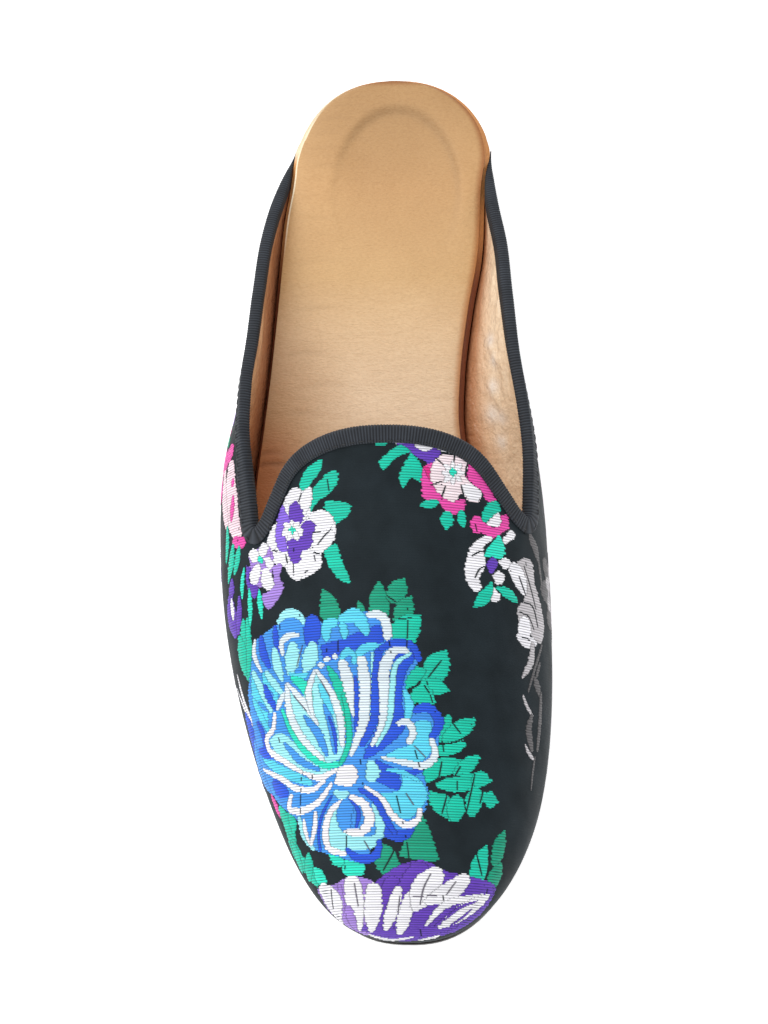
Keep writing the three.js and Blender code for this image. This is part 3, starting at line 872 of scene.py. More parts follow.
# A row with widths is a stroke: thread, widths in mm at its start, middle and end, and photo points from
# tip to tip. A row without widths is a whole area: thread and the photo points round it.
PETALS = [
    (
        "azure", (78, 660), (91, 649), (103, 640), (112, 630), (128, 636), (138, 632), (148, 640), (166, 634),
        (181, 629), (206, 630), (216, 652), (240, 662), (244, 678), (232, 696), (239, 722), (257, 722),
        (265, 742), (262, 768), (249, 786), (255, 812), (246, 836), (232, 854), (207, 856), (186, 879),
        (160, 873), (140, 867), (122, 838), (100, 816), (86, 780), (78, 745), (73, 710), (76, 684),
    ),
    ("blue", (146, 662), (168, 655), (190, 646), (206, 642), (210, 656), (196, 664), (172, 668), (150, 678)),
    ("blue", (222, 664), (242, 668), (232, 690), (228, 720), (232, 742), (214, 762), (190, 776), (204, 740)),
    ("blue", (202, 776), (226, 786), (250, 786), (240, 792), (226, 790), (228, 806), (210, 802), (198, 792)),
    ("blue", (198, 814), (210, 830), (222, 846), (240, 846), (234, 856), (214, 856), (202, 838)),
    ("sky", (206, 776), (222, 766), (238, 760), (242, 738), (256, 738), (259, 752), (258, 768), (246, 778)),
    ("sky", (206, 810), (226, 806), (230, 790), (246, 796), (254, 812), (246, 826), (234, 836), (220, 832)),
    ("ice", (112, 704), (124, 716), (140, 690), (156, 704), (168, 740), (168, 774), (150, 780), (126, 760)),
    ("ice", (94, 758), (104, 750), (118, 758), (136, 776), (158, 786), (148, 796), (124, 790), (104, 776)),
    ("ice", (154, 832), (166, 822), (178, 852), (200, 852), (198, 820), (210, 836), (204, 862), (180, 868),
     (158, 868)),
]

PEONY = [
    # Frills at the top
    ("blue", 1.6, 2.6, 1.4, (86, 652), (88, 668), (95, 686)),
    ("pearl", 1, 1.7, 0.8, (80, 656), (79, 671), (87, 690)),
    ("blue", 1.2, 2, 1.2, (100, 642), (101, 656), (104, 670)),
    ("ice", 1.4, 2.4, 1.4, (102, 640), (112, 630), (123, 631), (131, 641)),
    ("blue", 4.6, 5.4, 4, (138, 631), (138, 646), (136, 664)),
    ("sky", 2, 3, 2.4, (152, 658), (153, 642), (164, 637)),
    ("sky", 2.6, 4, 2.2, (164, 637), (181, 632), (194, 652)),
    ("sky", 1.8, 2.4, 1.4, (167, 638), (170, 648), (170, 656)),
    ("pearl", 1.8, 2.6, 2.2, (192, 631), (207, 632), (213, 644), (213, 657)),
    ("ice", 3, 4.6, 1.2, (118, 658), (118, 672), (114, 693)),
    ("pearl", 1.2, 1.9, 1.2, (108, 673), (107, 659), (113, 653), (125, 652)),
    ("ice", 3, 4.6, 1.2, (139, 658), (136, 672), (129, 690)),
    ("ice", 2, 3, 1, (99, 664), (102, 680), (108, 699)),
    ("shade", *SHADE_LINE, (128, 662), (122, 684)),
    ("sky", 1, 1.8, 1, (114, 690), (124, 694), (134, 690)),
    ("mint", 1.4, 3, 1, (116, 694), (128, 702), (138, 718)),
    ("pearl", 1.2, 1.6, 1.2, (149, 677), (156, 675)),
    ("pearl", 1.4, 1.7, 1.2, (158, 673), (164, 673)),
    ("pearl", 1.4, 1.7, 1.2, (143, 682), (150, 682)),
    # Arcs on the left
    ("sky", 2.6, 5, 2.6, (78, 690), (82, 710), (92, 742)),
    ("sky", 2, 4, 2, (88, 690), (95, 704), (102, 722)),
    ("azure", 0.8, 1.6, 0.8, (87, 702), (92, 708), (99, 713)),
    ("azure", 0.8, 1.4, 0.8, (83, 719), (88, 724), (95, 729)),
    ("ice", 1.8, 2.4, 1.4, (77, 688), (86, 706), (97, 730)),
    ("ice", 1.6, 2.2, 1.2, (90, 688), (99, 700), (110, 714)),
    ("blue", 1.4, 2.4, 1.4, (89, 701), (94, 714), (102, 728)),
    ("sky", 1.6, 2.2, 1.6, (78, 716), (86, 734), (95, 750)),
    ("blue", 1.2, 1.8, 1, (82, 738), (88, 752), (90, 766)),
    ("pearl", 1.2, 1.7, 1.2, (102, 728), (106, 717), (111, 709)),
    # The bud in the middle
    ("azure", 1, 2.6, 1, (129, 732), (143, 750), (153, 774)),
    ("sky", 1.4, 2.4, 1.4, (145, 700), (152, 716), (158, 732)),
    ("azure", 0.8, 2.2, 1, (149, 720), (157, 742), (161, 772)),
    ("blue", 0.4, 1, 0.4, (154, 732), (160, 750), (162, 770)),
    ("green", 1, 3.4, 1.6, (153, 682), (164, 702), (172, 746)),
    ("pearl", 1.4, 2.6, 1.6, (112, 700), (115, 730), (126, 754), (150, 779)),
    ("pearl", 1, 2, 1, (112, 700), (127, 717), (144, 742)),
    ("pearl", 1, 2, 1.2, (141, 686), (134, 708), (138, 732)),
    ("pearl", 1, 2.2, 1.4, (141, 686), (155, 706), (166, 736), (168, 764)),
    ("shade", *SHADE_LINE, (119, 713), (132, 728)),
    ("shade", *SHADE_LINE, (146, 697), (156, 714)),
    ("mint", 1, 1.7, 1.6, (107, 726), (118, 752), (134, 772), (152, 783), (168, 780)),
    ("green", 1.2, 1.7, 1.4, (166, 782), (174, 762), (174, 735), (169, 710)),
    # Long striped petals on the right
    ("sky", 1.6, 2.4, 1.4, (178, 680), (190, 665), (208, 662)),
    ("sky", 1.4, 2.2, 1.2, (166, 676), (174, 668), (182, 674)),
    ("pearl", 2.8, 3.2, 1, (167, 676), (174, 700), (180, 734)),
    ("blue", 0.8, 1.6, 1, (181, 692), (183, 716), (182, 750)),
    ("pearl", 2.6, 3.2, 1.2, (187, 672), (191, 708), (189, 740), (176, 773)),
    ("ice", 0.8, 1.2, 0.8, (198, 668), (199, 700), (197, 738)),
    ("blue", 2, 2.6, 1.6, (205, 664), (202, 704), (200, 736), (187, 764)),
    ("pearl", 1.8, 3.2, 1.1, (236, 668), (222, 666), (212, 680), (211, 718), (208, 744), (197, 763)),
    ("ice", 0.8, 1.7, 0.8, (238, 669), (224, 678), (218, 706), (215, 738), (202, 763)),
    ("blue", 1.8, 2.1, 1.8, (205, 666), (221, 659), (238, 662), (246, 678)),
    ("sky", 1.4, 2.4, 1.6, (230, 706), (235, 720), (233, 738)),
    # Frills on the right
    ("blue", 1.8, 2.8, 1.8, (238, 728), (254, 724), (265, 737), (257, 756)),
    ("pearl", 1.4, 2, 1.6, (222, 741), (233, 738), (239, 748), (234, 761)),
    ("pearl", 0.8, 1.9, 1.6, (206, 774), (230, 779), (250, 782), (261, 772), (257, 754)),
    ("sky", 0.6, 1.4, 0.8, (212, 786), (228, 789), (246, 798)),
    ("ice", 3, 3.8, 3, (195, 777), (199, 788), (195, 799)),
    ("shade", *SHADE_LINE, (240, 762), (252, 774)),
    ("shade", *SHADE_LINE, (232, 810), (240, 822)),
    # Lower lobes
    ("white", 0.8, 1.9, 1.4, (190, 803), (208, 816), (219, 833), (233, 842), (244, 836), (246, 824)),
    ("blue", 1.2, 1.8, 1.4, (184, 805), (201, 817), (212, 836), (222, 852)),
    ("azure", 1, 2.2, 1, (109, 760), (126, 778), (146, 788)),
    ("sky", 1.6, 3, 1.6, (88, 776), (110, 790), (138, 801)),
    ("blue", 2, 3.4, 2, (84, 768), (90, 770), (100, 774)),
    ("blue", 3, 4.4, 3, (98, 798), (104, 806), (114, 812)),
    ("white", 1.2, 1.9, 1.2, (100, 729), (98, 747), (92, 756), (93, 764), (110, 779), (128, 790)),
    ("white", 1, 1.7, 0.8, (128, 790), (144, 795), (164, 786)),
    ("white", 0.8, 1.8, 1, (88, 787), (106, 796), (122, 806), (138, 807), (151, 797)),
    ("white", 1.4, 1.9, 1, (117, 811), (115, 827), (122, 829), (142, 821), (158, 800)),
    ("ice", 1.4, 2.2, 1.2, (124, 834), (130, 854), (140, 868)),
    ("white", 1, 1.6, 1, (141, 828), (140, 846), (136, 864)),
    ("white", 0.8, 1.4, 0.8, (129, 836), (131, 850), (135, 862)),
    ("blue", 0.5, 0.9, 0.9, (158, 812), (148, 832), (144, 852), (146, 869)),
    ("white", 1.2, 2, 1.4, (170, 817), (157, 828), (151, 846), (154, 865), (173, 872)),
    ("azure", 4, 5.6, 4, (174, 815), (172, 832), (170, 849)),
    ("azure", 3, 4, 3, (184, 820), (185, 834), (180, 848)),
    ("blue", 0.6, 1.2, 0.6, (174, 814), (184, 828), (182, 846)),
    ("white", 1.6, 2.7, 1.4, (175, 813), (190, 822), (195, 838), (187, 849), (170, 849)),
    ("blue", 1.4, 2.4, 1.4, (171, 866), (186, 876), (201, 873), (206, 856)),
    ("ice", 1.6, 2.4, 1.6, (159, 809), (167, 812), (175, 810)),
    ("white", 2.6, 5.8, 5, (161, 801), (172, 793), (182, 785)),
    ("shade", *SHADE_LINE, (190, 858), (196, 868)),
]

LEAVES = [
    ("fern", 0.8, 4.6, 6, (148, 605), (154, 620), (157, 640)),
    ("fern", 1, 4.8, 5.6, (205, 597), (205, 614), (206, 636)),
    ("fern", 0.6, 2.2, 2, (184, 617), (187, 626), (189, 636)),
    ("fern", 0.8, 4.6, 4, (231, 594), (225, 604), (215, 618)),
    ("fern", 1, 4.8, 4.4, (238, 612), (231, 625), (225, 642)),
    ("green", 1, 6.8, 6, (247, 631), (233, 645), (219, 664)),
    ("green", 0.8, 6.6, 4, (273, 666), (263, 683), (250, 701)),
    ("green", 0.8, 4.6, 2.4, (253, 687), (241, 690), (229, 705)),
    ("green", 0.6, 4.4, 3, (276, 707), (263, 703), (246, 700)),
    ("green", 1.6, 5.4, 3, (262, 720), (250, 712), (235, 716)),
    ("green", 1.6, 3.4, 2, (276, 731), (271, 742), (264, 758)),
    ("green", 1.4, 4.8, 3, (302, 735), (288, 745), (269, 759)),
    ("green", 1, 3.4, 2.4, (293, 760), (279, 764), (261, 768)),
    ("green", 2, 5.2, 2, (246, 798), (266, 785), (289, 778)),
    ("green", 1.2, 3.8, 2, (306, 772), (294, 781), (280, 793)),
    ("green", 1.4, 4.6, 4, (262, 802), (283, 800), (305, 796)),
    ("green", 3.6, 4.2, 1.2, (299, 801), (308, 795), (318, 797)),
    ("green", 3, 5.8, 3, (252, 810), (268, 820), (281, 837)),
    ("green", 4, 5.2, 4, (284, 811), (282, 824), (280, 838)),
    ("green", 4, 4.8, 3, (303, 803), (300, 818), (297, 833)),
    ("green", 2.6, 4.6, 1.6, (307, 811), (315, 815), (325, 818)),
    ("fern", (224, 873), (232, 855), (247, 830), (255, 844), (261, 860), (264, 877), (246, 877)),
    ("fern", (198, 876), (204, 860), (216, 864), (225, 878), (229, 891), (214, 894), (204, 887)),
    ("mint", 5, 5.6, 4, (167, 884), (178, 885), (191, 888)),
    ("mint", 2, 3.4, 3, (155, 871), (162, 877), (169, 882)),
    ("green", 0.8, 5, 3, (313, 861), (306, 880), (300, 907)),
    ("fern", 0.8, 4, 2.4, (331, 846), (325, 864), (320, 883)),
    ("fern", 2, 4.2, 2, (328, 879), (321, 893), (314, 909)),
    ("green", 1.2, 2.6, 2, (72, 634), (74, 662), (74, 694)),
    ("green", 1.4, 3, 1.6, (114, 827), (118, 840), (119, 852)),
    ("green", 1, 3.2, 2, (116, 858), (122, 873), (128, 891)),
    ("green", 1, 3.8, 2.4, (134, 870), (134, 886), (135, 900)),
    ("mint", 1.4, 3.8, 2, (139, 885), (146, 896), (151, 907)),
    # Dark lines between their lobes
    *strokes("vein", LEAF_VEIN, ((268, 676), (254, 694)), ((250, 701), (256, 710)), ((278, 738), (287, 750))),
    ("vein", 0.3, 0.45, 0.3, (300, 748), (282, 758), (264, 761)),
    *strokes("vein", LEAF_VEIN, ((268, 778), (265, 794)), ((287, 782), (281, 792))),
    ("vein", 0.3, 0.6, 0.4, (252, 802), (268, 794), (286, 792)),
    ("vein", 0.4, 0.7, 0.4, (258, 807), (276, 810), (296, 808)),
    *strokes(
        "vein", LEAF_VEIN, ((301, 790), (292, 830)), ((310, 804), (306, 820)), ((273, 812), (268, 830)),
        ((302, 868), (308, 892)), ((221, 866), (209, 888)),
    ),
    *strokes("vein", FINE_VEIN, ((221, 636), (238, 634)), ((213, 612), (222, 618))),
]

TOE_FLOWER = [
    ("lilac", (142, 907), (160, 902), (176, 894), (200, 900), (204, 930), (200, 952), (176, 946), (156, 930)),
    ("purple", (198, 902), (226, 882), (250, 877), (270, 887), (298, 893), (322, 905), (312, 924), (292, 942),
     (266, 953), (228, 958), (196, 951)),
    ("purple", 5, 7, 6, (220, 893), (214, 920), (208, 952)),
    ("purple", 6, 10, 8, (248, 878), (240, 908), (232, 954)),
    ("purple", 6, 7, 3, (238, 950), (268, 918), (320, 907)),
    ("purple", 2, 3.4, 1.6, (182, 944), (232, 951), (284, 941)),
    ("lilac", 1.4, 1.6, 1.2, (165, 902), (167, 916), (171, 934)),
    ("white", 4.4, 6.4, 2.4, (145, 903), (157, 918), (169, 942)),
    ("white", 4.8, 5.4, 2.4, (176, 893), (180, 915), (186, 948)),
    ("lilac", 2.4, 3, 1.6, (173, 923), (176, 934), (183, 948)),
    ("white", 4.4, 4.9, 2.2, (199, 900), (199, 922), (197, 950)),
    ("white", 2.4, 3.6, 1.6, (225, 903), (220, 922), (211, 948)),
    ("white", 2.6, 3.9, 2, (238, 908), (231, 930), (225, 952)),
    ("white", 5, 7.6, 2.6, (267, 885), (254, 902), (239, 928)),
    ("white", 3.6, 5, 2, (295, 892), (280, 905), (250, 920)),
    ("white", 0.8, 2, 0.8, (251, 943), (268, 924), (310, 911)),
    ("white", 1, 4.2, 1.2, (264, 945), (290, 928), (316, 911)),
    ("purple", 0.3, 0.9, 0.3, (270, 937), (286, 924), (304, 917)),
    ("purple", 0.3, 0.7, 0.3, (276, 942), (288, 934), (298, 925)),
    ("white", 0.6, 1.3, 0.6, (194, 952), (218, 957), (240, 954)),
    ("white", 0.5, 1, 0.5, (244, 957), (256, 955), (266, 952)),
    ("shade", 0.2, 0.3, 0.2, (257, 890), (250, 904), (246, 922)),
    *strokes(
        "shade", SHADE_LINE, ((282, 898), (272, 912)), ((180, 900), (184, 924)), ((226, 912), (224, 930)),
        ((236, 914), (262, 912)),
    ),
]

THROAT_FLOWERS = [
    # Leaves by the lateral notch
    ("green", (124, 506), (126, 495), (132, 485), (140, 478), (148, 476), (147, 484), (138, 497), (131, 506)),
    ("green", (137, 506), (147, 495), (154, 488), (163, 487), (164, 496), (157, 508), (144, 517), (132, 534),
     (133, 522)),
    ("green", (149, 523), (151, 518), (162, 517), (177, 522), (174, 531), (165, 538), (158, 541), (155, 531)),
    ("green", (149, 568), (156, 562), (161, 560), (167, 574), (173, 588), (176, 599), (167, 597), (157, 587)),
    # Flower by the lateral notch
    ("white", (109, 517), (120, 503), (128, 506), (136, 503), (138, 514), (136, 527), (149, 526), (159, 534),
     (161, 551), (156, 561), (147, 571), (146, 583), (138, 590), (124, 596), (114, 591), (108, 580),
     (96, 574), (93, 558), (100, 541), (106, 530)),
    ("white", (109, 517), (113, 509), (120, 503), (127, 506), (123, 516), (117, 521)),
    ("white", (124, 517), (129, 507), (136, 503), (138, 513), (134, 526), (130, 532), (126, 525)),
    ("white", (131, 534), (140, 528), (149, 526), (158, 532), (160, 539), (153, 547), (142, 549), (138, 541)),
    ("white", (138, 549), (148, 548), (157, 545), (161, 551), (156, 561), (146, 568), (137, 567)),
    ("white", (127, 566), (138, 567), (147, 572), (146, 583), (138, 590), (131, 591), (124, 597), (114, 591),
     (112, 581), (121, 579)),
    ("white", (95, 566), (103, 569), (112, 571), (112, 581), (102, 581), (96, 575)),
    ("white", (92, 558), (95, 548), (100, 540), (105, 541), (103, 556), (102, 564), (95, 566)),
    ("violet", (101, 546), (103, 532), (108, 521), (112, 529), (116, 536), (108, 546), (112, 557), (113, 567),
     (105, 567), (101, 557)),
    ("purple", (115, 521), (122, 517), (127, 524), (129, 535), (124, 542), (117, 538), (114, 530)),
    ("purple", (126, 541), (135, 536), (141, 541), (138, 550), (129, 551)),
    ("purple", (112, 556), (124, 553), (137, 550), (138, 558), (134, 565), (127, 568), (126, 577), (119, 580),
     (114, 571)),
    *star(
        "white", (1, 2, 1.4), (118, 546),
        (117, 536), (125, 538), (129, 547), (124, 556), (113, 557), (107, 551), (109, 540),
    ),
    ("mint", 0.7, 0.9, 0.7, (114, 546), (122, 546)),
    ("mint", 0.5, 0.7, 0.5, (117, 542), (118, 551)),
    ("vein", *CUT, (143, 561), (150, 552), (157, 545)),
    ("vein", 0.3, 0.3, 0.2, (124, 518), (127, 509)),
    ("vein", *SLIT, (130, 589), (134, 586)),
    *strokes(
        "vein", CUT, ((138, 549), (148, 547)), ((97, 566), (104, 568)), ((113, 580), (111, 571)),
        ((139, 569), (146, 570)),
    ),
    # Small flower under it
    ("lilac", (74, 571), (84, 564), (93, 562), (99, 581), (97, 592), (98, 602), (88, 604), (76, 599),
     (75, 588)),
    ("lilac", (96, 582), (108, 581), (105, 592), (109, 602), (104, 615), (93, 626), (87, 612), (96, 606),
     (99, 592)),
    ("purple", (71, 582), (76, 585), (74, 596), (84, 605), (80, 615), (72, 604)),
    ("lilac", 1, 1.6, 1, (91, 567), (96, 572)),
    ("white", (73, 570), (78, 565), (84, 569), (84, 577), (78, 579)),
    ("white", (83, 567), (88, 559), (93, 561), (92, 570), (86, 573)),
    ("white", (88, 574), (95, 574), (99, 581), (95, 586)),
    ("white", (74, 592), (78, 584), (84, 580), (86, 586), (81, 601), (75, 599)),
    ("white", (86, 587), (92, 584), (97, 592), (99, 602), (93, 607), (88, 603)),
    ("mint", 1.2, 1.8, 1.2, (83, 573), (88, 579)),
    *strokes("mint", (0.6, 2, 0.6), ((84, 606), (85, 620), (87, 636)), ((74, 605), (75, 624), (75, 643))),
    ("mint", 0.6, 1.8, 0.6, (69, 584), (67, 600), (67, 616)),
    # Flower under the binding on the medial side
    ("green", 1, 2, 1, (198, 457), (208, 458), (216, 457)),
    ("white", 1, 1.6, 1, (216, 456), (224, 457), (232, 457)),
    ("purple", (219, 458), (236, 460), (254, 458), (268, 462), (266, 470), (262, 484), (252, 478),
     (238, 470)),
    ("white", 1, 2.2, 1.4, (241, 460), (250, 463), (259, 462)),
    ("green", (227, 460), (236, 466), (222, 474), (208, 485), (205, 480), (214, 468)),
    ("green", (237, 468), (246, 478), (248, 499), (238, 494), (229, 504), (225, 494), (231, 478)),
    ("magenta", (247, 496), (251, 482), (259, 479), (264, 492), (264, 504), (280, 516), (291, 516),
     (290, 526), (276, 530), (264, 519), (250, 514)),
    ("hot", 1, 2, 1, (250, 482), (256, 489), (259, 498)),
    ("magenta", (293, 478), (301, 477), (309, 488), (316, 504), (322, 517), (312, 516), (308, 508),
     (298, 499), (292, 492), (294, 484)),
    ("white", 0.6, 1.4, 0.6, (301, 479), (309, 489), (316, 502)),
    ("white", 0.8, 2, 0.8, (262, 463), (274, 465), (286, 467)),
    ("blush", (261, 475), (270, 470), (280, 471), (287, 467), (296, 473), (294, 483), (291, 492), (297, 499),
     (308, 509), (304, 518), (295, 517), (288, 510), (280, 518), (270, 514), (260, 502), (256, 490)),
    *star(
        "white", (0.5, 1.6, 0.8), (279, 489),
        (279, 477), (288, 480), (291, 489), (288, 498), (279, 501), (270, 498), (267, 489), (270, 480),
    ),
    ("white", (287, 501), (295, 500), (308, 510), (304, 517), (294, 515)),
    ("mint", 1.6, 2.6, 1.6, (275, 488), (283, 488)),
    *strokes("vein", CUT, ((262, 474), (270, 481)), ((281, 470), (280, 478))),
    ("vein", *SLIT, (287, 500), (290, 512)),
    *strokes("vein", CUT, ((257, 501), (269, 497)), ((268, 513), (272, 501))),
    ("vein", *CUT, (294, 479), (292, 487), (294, 495)),
    ("green", 1.2, 2.2, 2, (246, 521), (256, 520), (265, 518)),
    ("green", 3, 3.6, 1, (275, 527), (273, 536), (272, 546)),
    ("green", 2, 2.8, 1, (288, 526), (288, 535), (290, 544)),
    # Flower by the medial notch
    ("green", (307, 536), (309, 527), (316, 518), (324, 518), (327, 526), (318, 533), (312, 539)),
    ("magenta", (296, 541), (299, 533), (305, 532), (312, 540), (322, 543), (327, 532), (333, 531),
     (335, 544), (328, 549), (320, 554), (308, 549), (299, 548)),
    ("white", (312, 540), (318, 533), (325, 529), (327, 540), (320, 543)),
    ("white", (312, 551), (319, 554), (310, 563), (312, 580), (306, 597), (308, 604), (302, 608), (294, 599),
     (293, 572), (299, 560)),
    ("white", (325, 561), (331, 552), (338, 546), (341, 550), (334, 559)),
    ("mint", (310, 573), (314, 562), (320, 556), (325, 551), (330, 561), (331, 571), (325, 575), (318, 573)),
    ("purple", (312, 580), (319, 573), (324, 577), (322, 585), (317, 590)),
    ("white", (324, 577), (332, 574), (338, 579), (330, 585)),
    ("white", (318, 591), (325, 587), (331, 592), (329, 599), (322, 600)),
    ("white", (320, 603), (327, 613), (322, 618), (316, 616)),
    ("green", (298, 624), (304, 610), (312, 603), (318, 597), (319, 609), (312, 621)),
    ("green", (321, 603), (332, 603), (341, 610), (344, 618), (333, 615)),
    ("vein", *SLIT, (298, 572), (305, 568), (312, 567)),
    ("vein", *CUT, (301, 594), (306, 585), (312, 582)),
    ("vein", *SLIT, (311, 566), (320, 555)),
]

SCROLL = [
    ("silver", (343, 578), (350, 574), (357, 577), (361, 600), (367, 622), (370, 646), (366, 660), (356, 650),
     (345, 638), (343, 626), (350, 614), (347, 602)),
    ("white", (334, 586), (339, 578), (345, 581), (353, 601), (351, 612), (343, 604)),
    ("white", (344, 640), (349, 632), (355, 636), (357, 648), (352, 656), (345, 652)),
    ("white", 1.4, 3.6, 1.6, (342, 651), (351, 657), (363, 659)),
    ("silver", 1.6, 2.2, 0.6, (359, 658), (357, 677), (348, 694)),
    ("vein", *SLIT, (350, 582), (356, 602), (362, 626)),
    ("vein", 0.3, 0.5, 0.3, (348, 617), (358, 622), (364, 644)),
    ("vein", *SLIT, (346, 652), (356, 656)),
    *strokes("vein", SLIT, ((345, 628), (354, 632), (360, 646)), ((345, 592), (352, 612))),
    ("dim", 0.8, 1.4, 0.8, (362, 560), (365, 580), (368, 606)),
    ("dim", 2, 3.2, 1.4, (355, 550), (361, 564), (365, 580)),
    ("dim", 0.8, 1, 0.6, (368, 660), (361, 684), (354, 708)),
    ("dim", 0.8, 1.2, 0.8, (366, 678), (364, 686), (362, 694)),
    ("dim", 1, 2.8, 1, (360, 692), (363, 701), (365, 712)),
    ("silver", 0.8, 1.2, 0.8, (349, 711), (353, 722), (359, 733)),
    ("dim", 1, 2.4, 1.6, (358, 730), (355, 746), (358, 768)),
    ("dim", 1, 1.6, 1, (367, 708), (366, 736), (363, 768)),
    ("silver", 0.6, 1.4, 0.6, (351, 760), (355, 769), (361, 777)),
    ("dim", 0.6, 0.8, 0.5, (361, 772), (359, 786), (357, 806)),
]

# Motifs that run over the lateral side
SIDE_FLOWERS = [
    ("lilac", 1.4, 2.2, 1.4, (60, 412), (59, 426), (58, 441)),
    ("fern", 2.6, 4, 2.6, (57, 441), (55, 450), (54, 461)),
    ("magenta", 4, 5, 4, (58, 460), (55, 469), (53, 479)),
    ("pink", 4, 7, 3, (56, 476), (55, 505), (57, 532), (65, 561)),
    ("pink", 2.4, 4, 2.4, (50, 486), (49, 515), (52, 545)),
    ("magenta", 1.4, 2, 1.4, (58, 494), (57, 503)),
    ("magenta", 1, 2.2, 1, (58, 511), (57, 524), (56, 538)),
    ("magenta", 3, 3.6, 3, (57, 557), (64, 559), (71, 558)),
    ("green", 1, 2.2, 1, (52, 542), (52, 560), (51, 580)),
    ("green", 1.4, 3, 1, (58, 560), (56, 578), (53, 600)),
    ("green", 1.2, 2.6, 1, (64, 562), (62, 576), (59, 592)),
    ("purple", 1.6, 3, 2, (57, 595), (56, 606), (56, 618)),
    ("purple", 3, 6, 3, (54, 612), (56, 632), (61, 655)),
    ("purple", 1.2, 2.6, 1.6, (64, 612), (64, 630), (63, 652)),
    ("white", 1, 2, 1, (56, 615), (57, 626), (58, 637)),
    ("green", 1, 3.4, 3, (68, 635), (69, 650), (72, 665)),
    ("green", 2, 5, 2, (64, 652), (68, 674), (76, 700)),
    ("white", 0.6, 1.4, 0.6, (62, 692), (68, 716), (79, 744)),
    ("white", 0.5, 1.2, 0.5, (62, 706), (70, 728), (80, 750)),
    ("blue", 2, 5, 3, (70, 730), (79, 760), (86, 790)),
    ("azure", 3, 7, 4, (80, 756), (86, 784), (100, 812)),
    ("magenta", 1, 2.4, 1, (96, 812), (101, 824), (106, 836)),
    ("green", 2, 4.6, 2, (104, 824), (113, 842), (121, 862)),
    ("green", 1.4, 4.4, 2, (112, 850), (120, 868), (131, 890)),
    ("green", 1.4, 4, 2, (126, 874), (134, 888), (144, 904)),
]

# Strokes on the hidden walls: thread, widths in mm and (station, girth) from tip to tip
WALL_STROKES = [
    # A vine on the medial side, with its leaves and their light
    (
        "silver", 0.8, 1.6, 0.6,
        (126, 1.4), (142, 1.56), (158, 1.36), (176, 1.54), (194, 1.36), (212, 1.52), (228, 1.4),
    ),
    ("silver", 0.6, 4, 1, (134, 1.26), (139, 1.36), (142, 1.54)),
    ("silver", 0.6, 4.4, 1, (150, 1.76), (151, 1.6), (154, 1.42)),
    ("silver", 0.6, 4.6, 1, (164, 1.2), (168, 1.34), (174, 1.52)),
    *strokes(
        "silver", (0.6, 4.4, 1), ((184, 1.74), (185, 1.6), (188, 1.42)), ((200, 1.2), (204, 1.34), (209, 1.5))
    ),
    ("silver", 0.6, 3.6, 1, (220, 1.68), (219, 1.56), (222, 1.42)),
    *strokes(
        "white", (0.4, 1.2, 0.4),
        ((136, 1.29), (140, 1.4), (142, 1.5)), ((150, 1.7), (151, 1.6), (153, 1.48)),
        ((166, 1.25), (169, 1.36), (173, 1.48)), ((184, 1.68), (185, 1.58), (187, 1.48)),
        ((202, 1.25), (205, 1.36), (208, 1.46)),
    ),
    # Leaves on both sides
    ("green", 1, 5, 1, (112, -1.02), (118, -1.25), (128, -1.5)),
    ("green", 1, 4, 1, (100, -1.1), (92, -1.3), (88, -1.55)),
    ("green", 1, 4.4, 1, (140, -1.3), (150, -1.5), (160, -1.56)),
    ("green", 1, 4, 1, (186, -1.42), (193, -1.52), (201, -1.52)),
    ("mint", 0.8, 3.4, 0.8, (134, -1.5), (130, -1.7), (122, -1.8)),
    *strokes(
        "green", (1, 3.6, 1), ((70, -1.4), (62, -1.5), (54, -1.5)), ((84, -1.5), (92, -1.7), (102, -1.72)),
        ((70, 1.5), (62, 1.6), (54, 1.6)), ((86, 1.5), (94, 1.66), (104, 1.6)),
    ),
]

# Round flowers on the walls: station, girth, radius in mm, petals and threads from the rim inwards
ROSETTES = [
    (121, -1.02, 13.5, 7, ("magenta", "pink", "white", "green")),
    (150, -1.22, 8, 6, ("purple", "lilac", "white", "mint")),
    (97, -1.06, 6, 5, ("lilac", "white", "purple", "mint")),
    (77, -1.46, 9, 6, ("magenta", "pink", "white", "green")),
    (179, -1.3, 6.5, 6, ("white", "lilac", "violet", "mint")),
    (208, -1.5, 6, 6, ("blue", "sky", "white", "mint")),
    (156, 1.1, 13, 8, ("dim", "silver", "dim", "silver")),
    (78, 1.5, 9, 6, ("purple", "white", "lilac", "green")),
    (114, 1.46, 8, 6, ("magenta", "pink", "white", "green")),
]

# A rosette's shares of its radius
RING_SHRINK = 0.3
PETAL_PLACES = (0.1, 0.6, 1)
PETAL_WIDTHS = (0.2, 0.62, 0.44)
EYE_HALF = 0.16
EYE_WIDTH = 0.2

# Points in an outline, and limits in mm and in shares of a stroke's length
STROKE_POINTS = 36
CORNER_POINTS = 12
TIP_ANGLES = np.linspace(math.pi / 2, -math.pi / 2, 9)[1:-1, None]
LEAST_HALF = 0.1
MOST_CUT = 0.35
FOOT_STEPS = 120
FOOT_TOE_STEPS = 40
FOOT_TOE_START = TOE_CLOSE + 0.2


def smooth_line(points, count, cut_start=0, cut_end=0):
    points = np.asarray(points, float)
    reach = path_lengths(points)
    most = reach[-1] * MOST_CUT
    at = np.linspace(min(cut_start, most), reach[-1] - min(cut_end, most), count)
    return np.stack([smooth_curve(reach, points[:, k])(at) for k in (0, 1)], axis=-1)


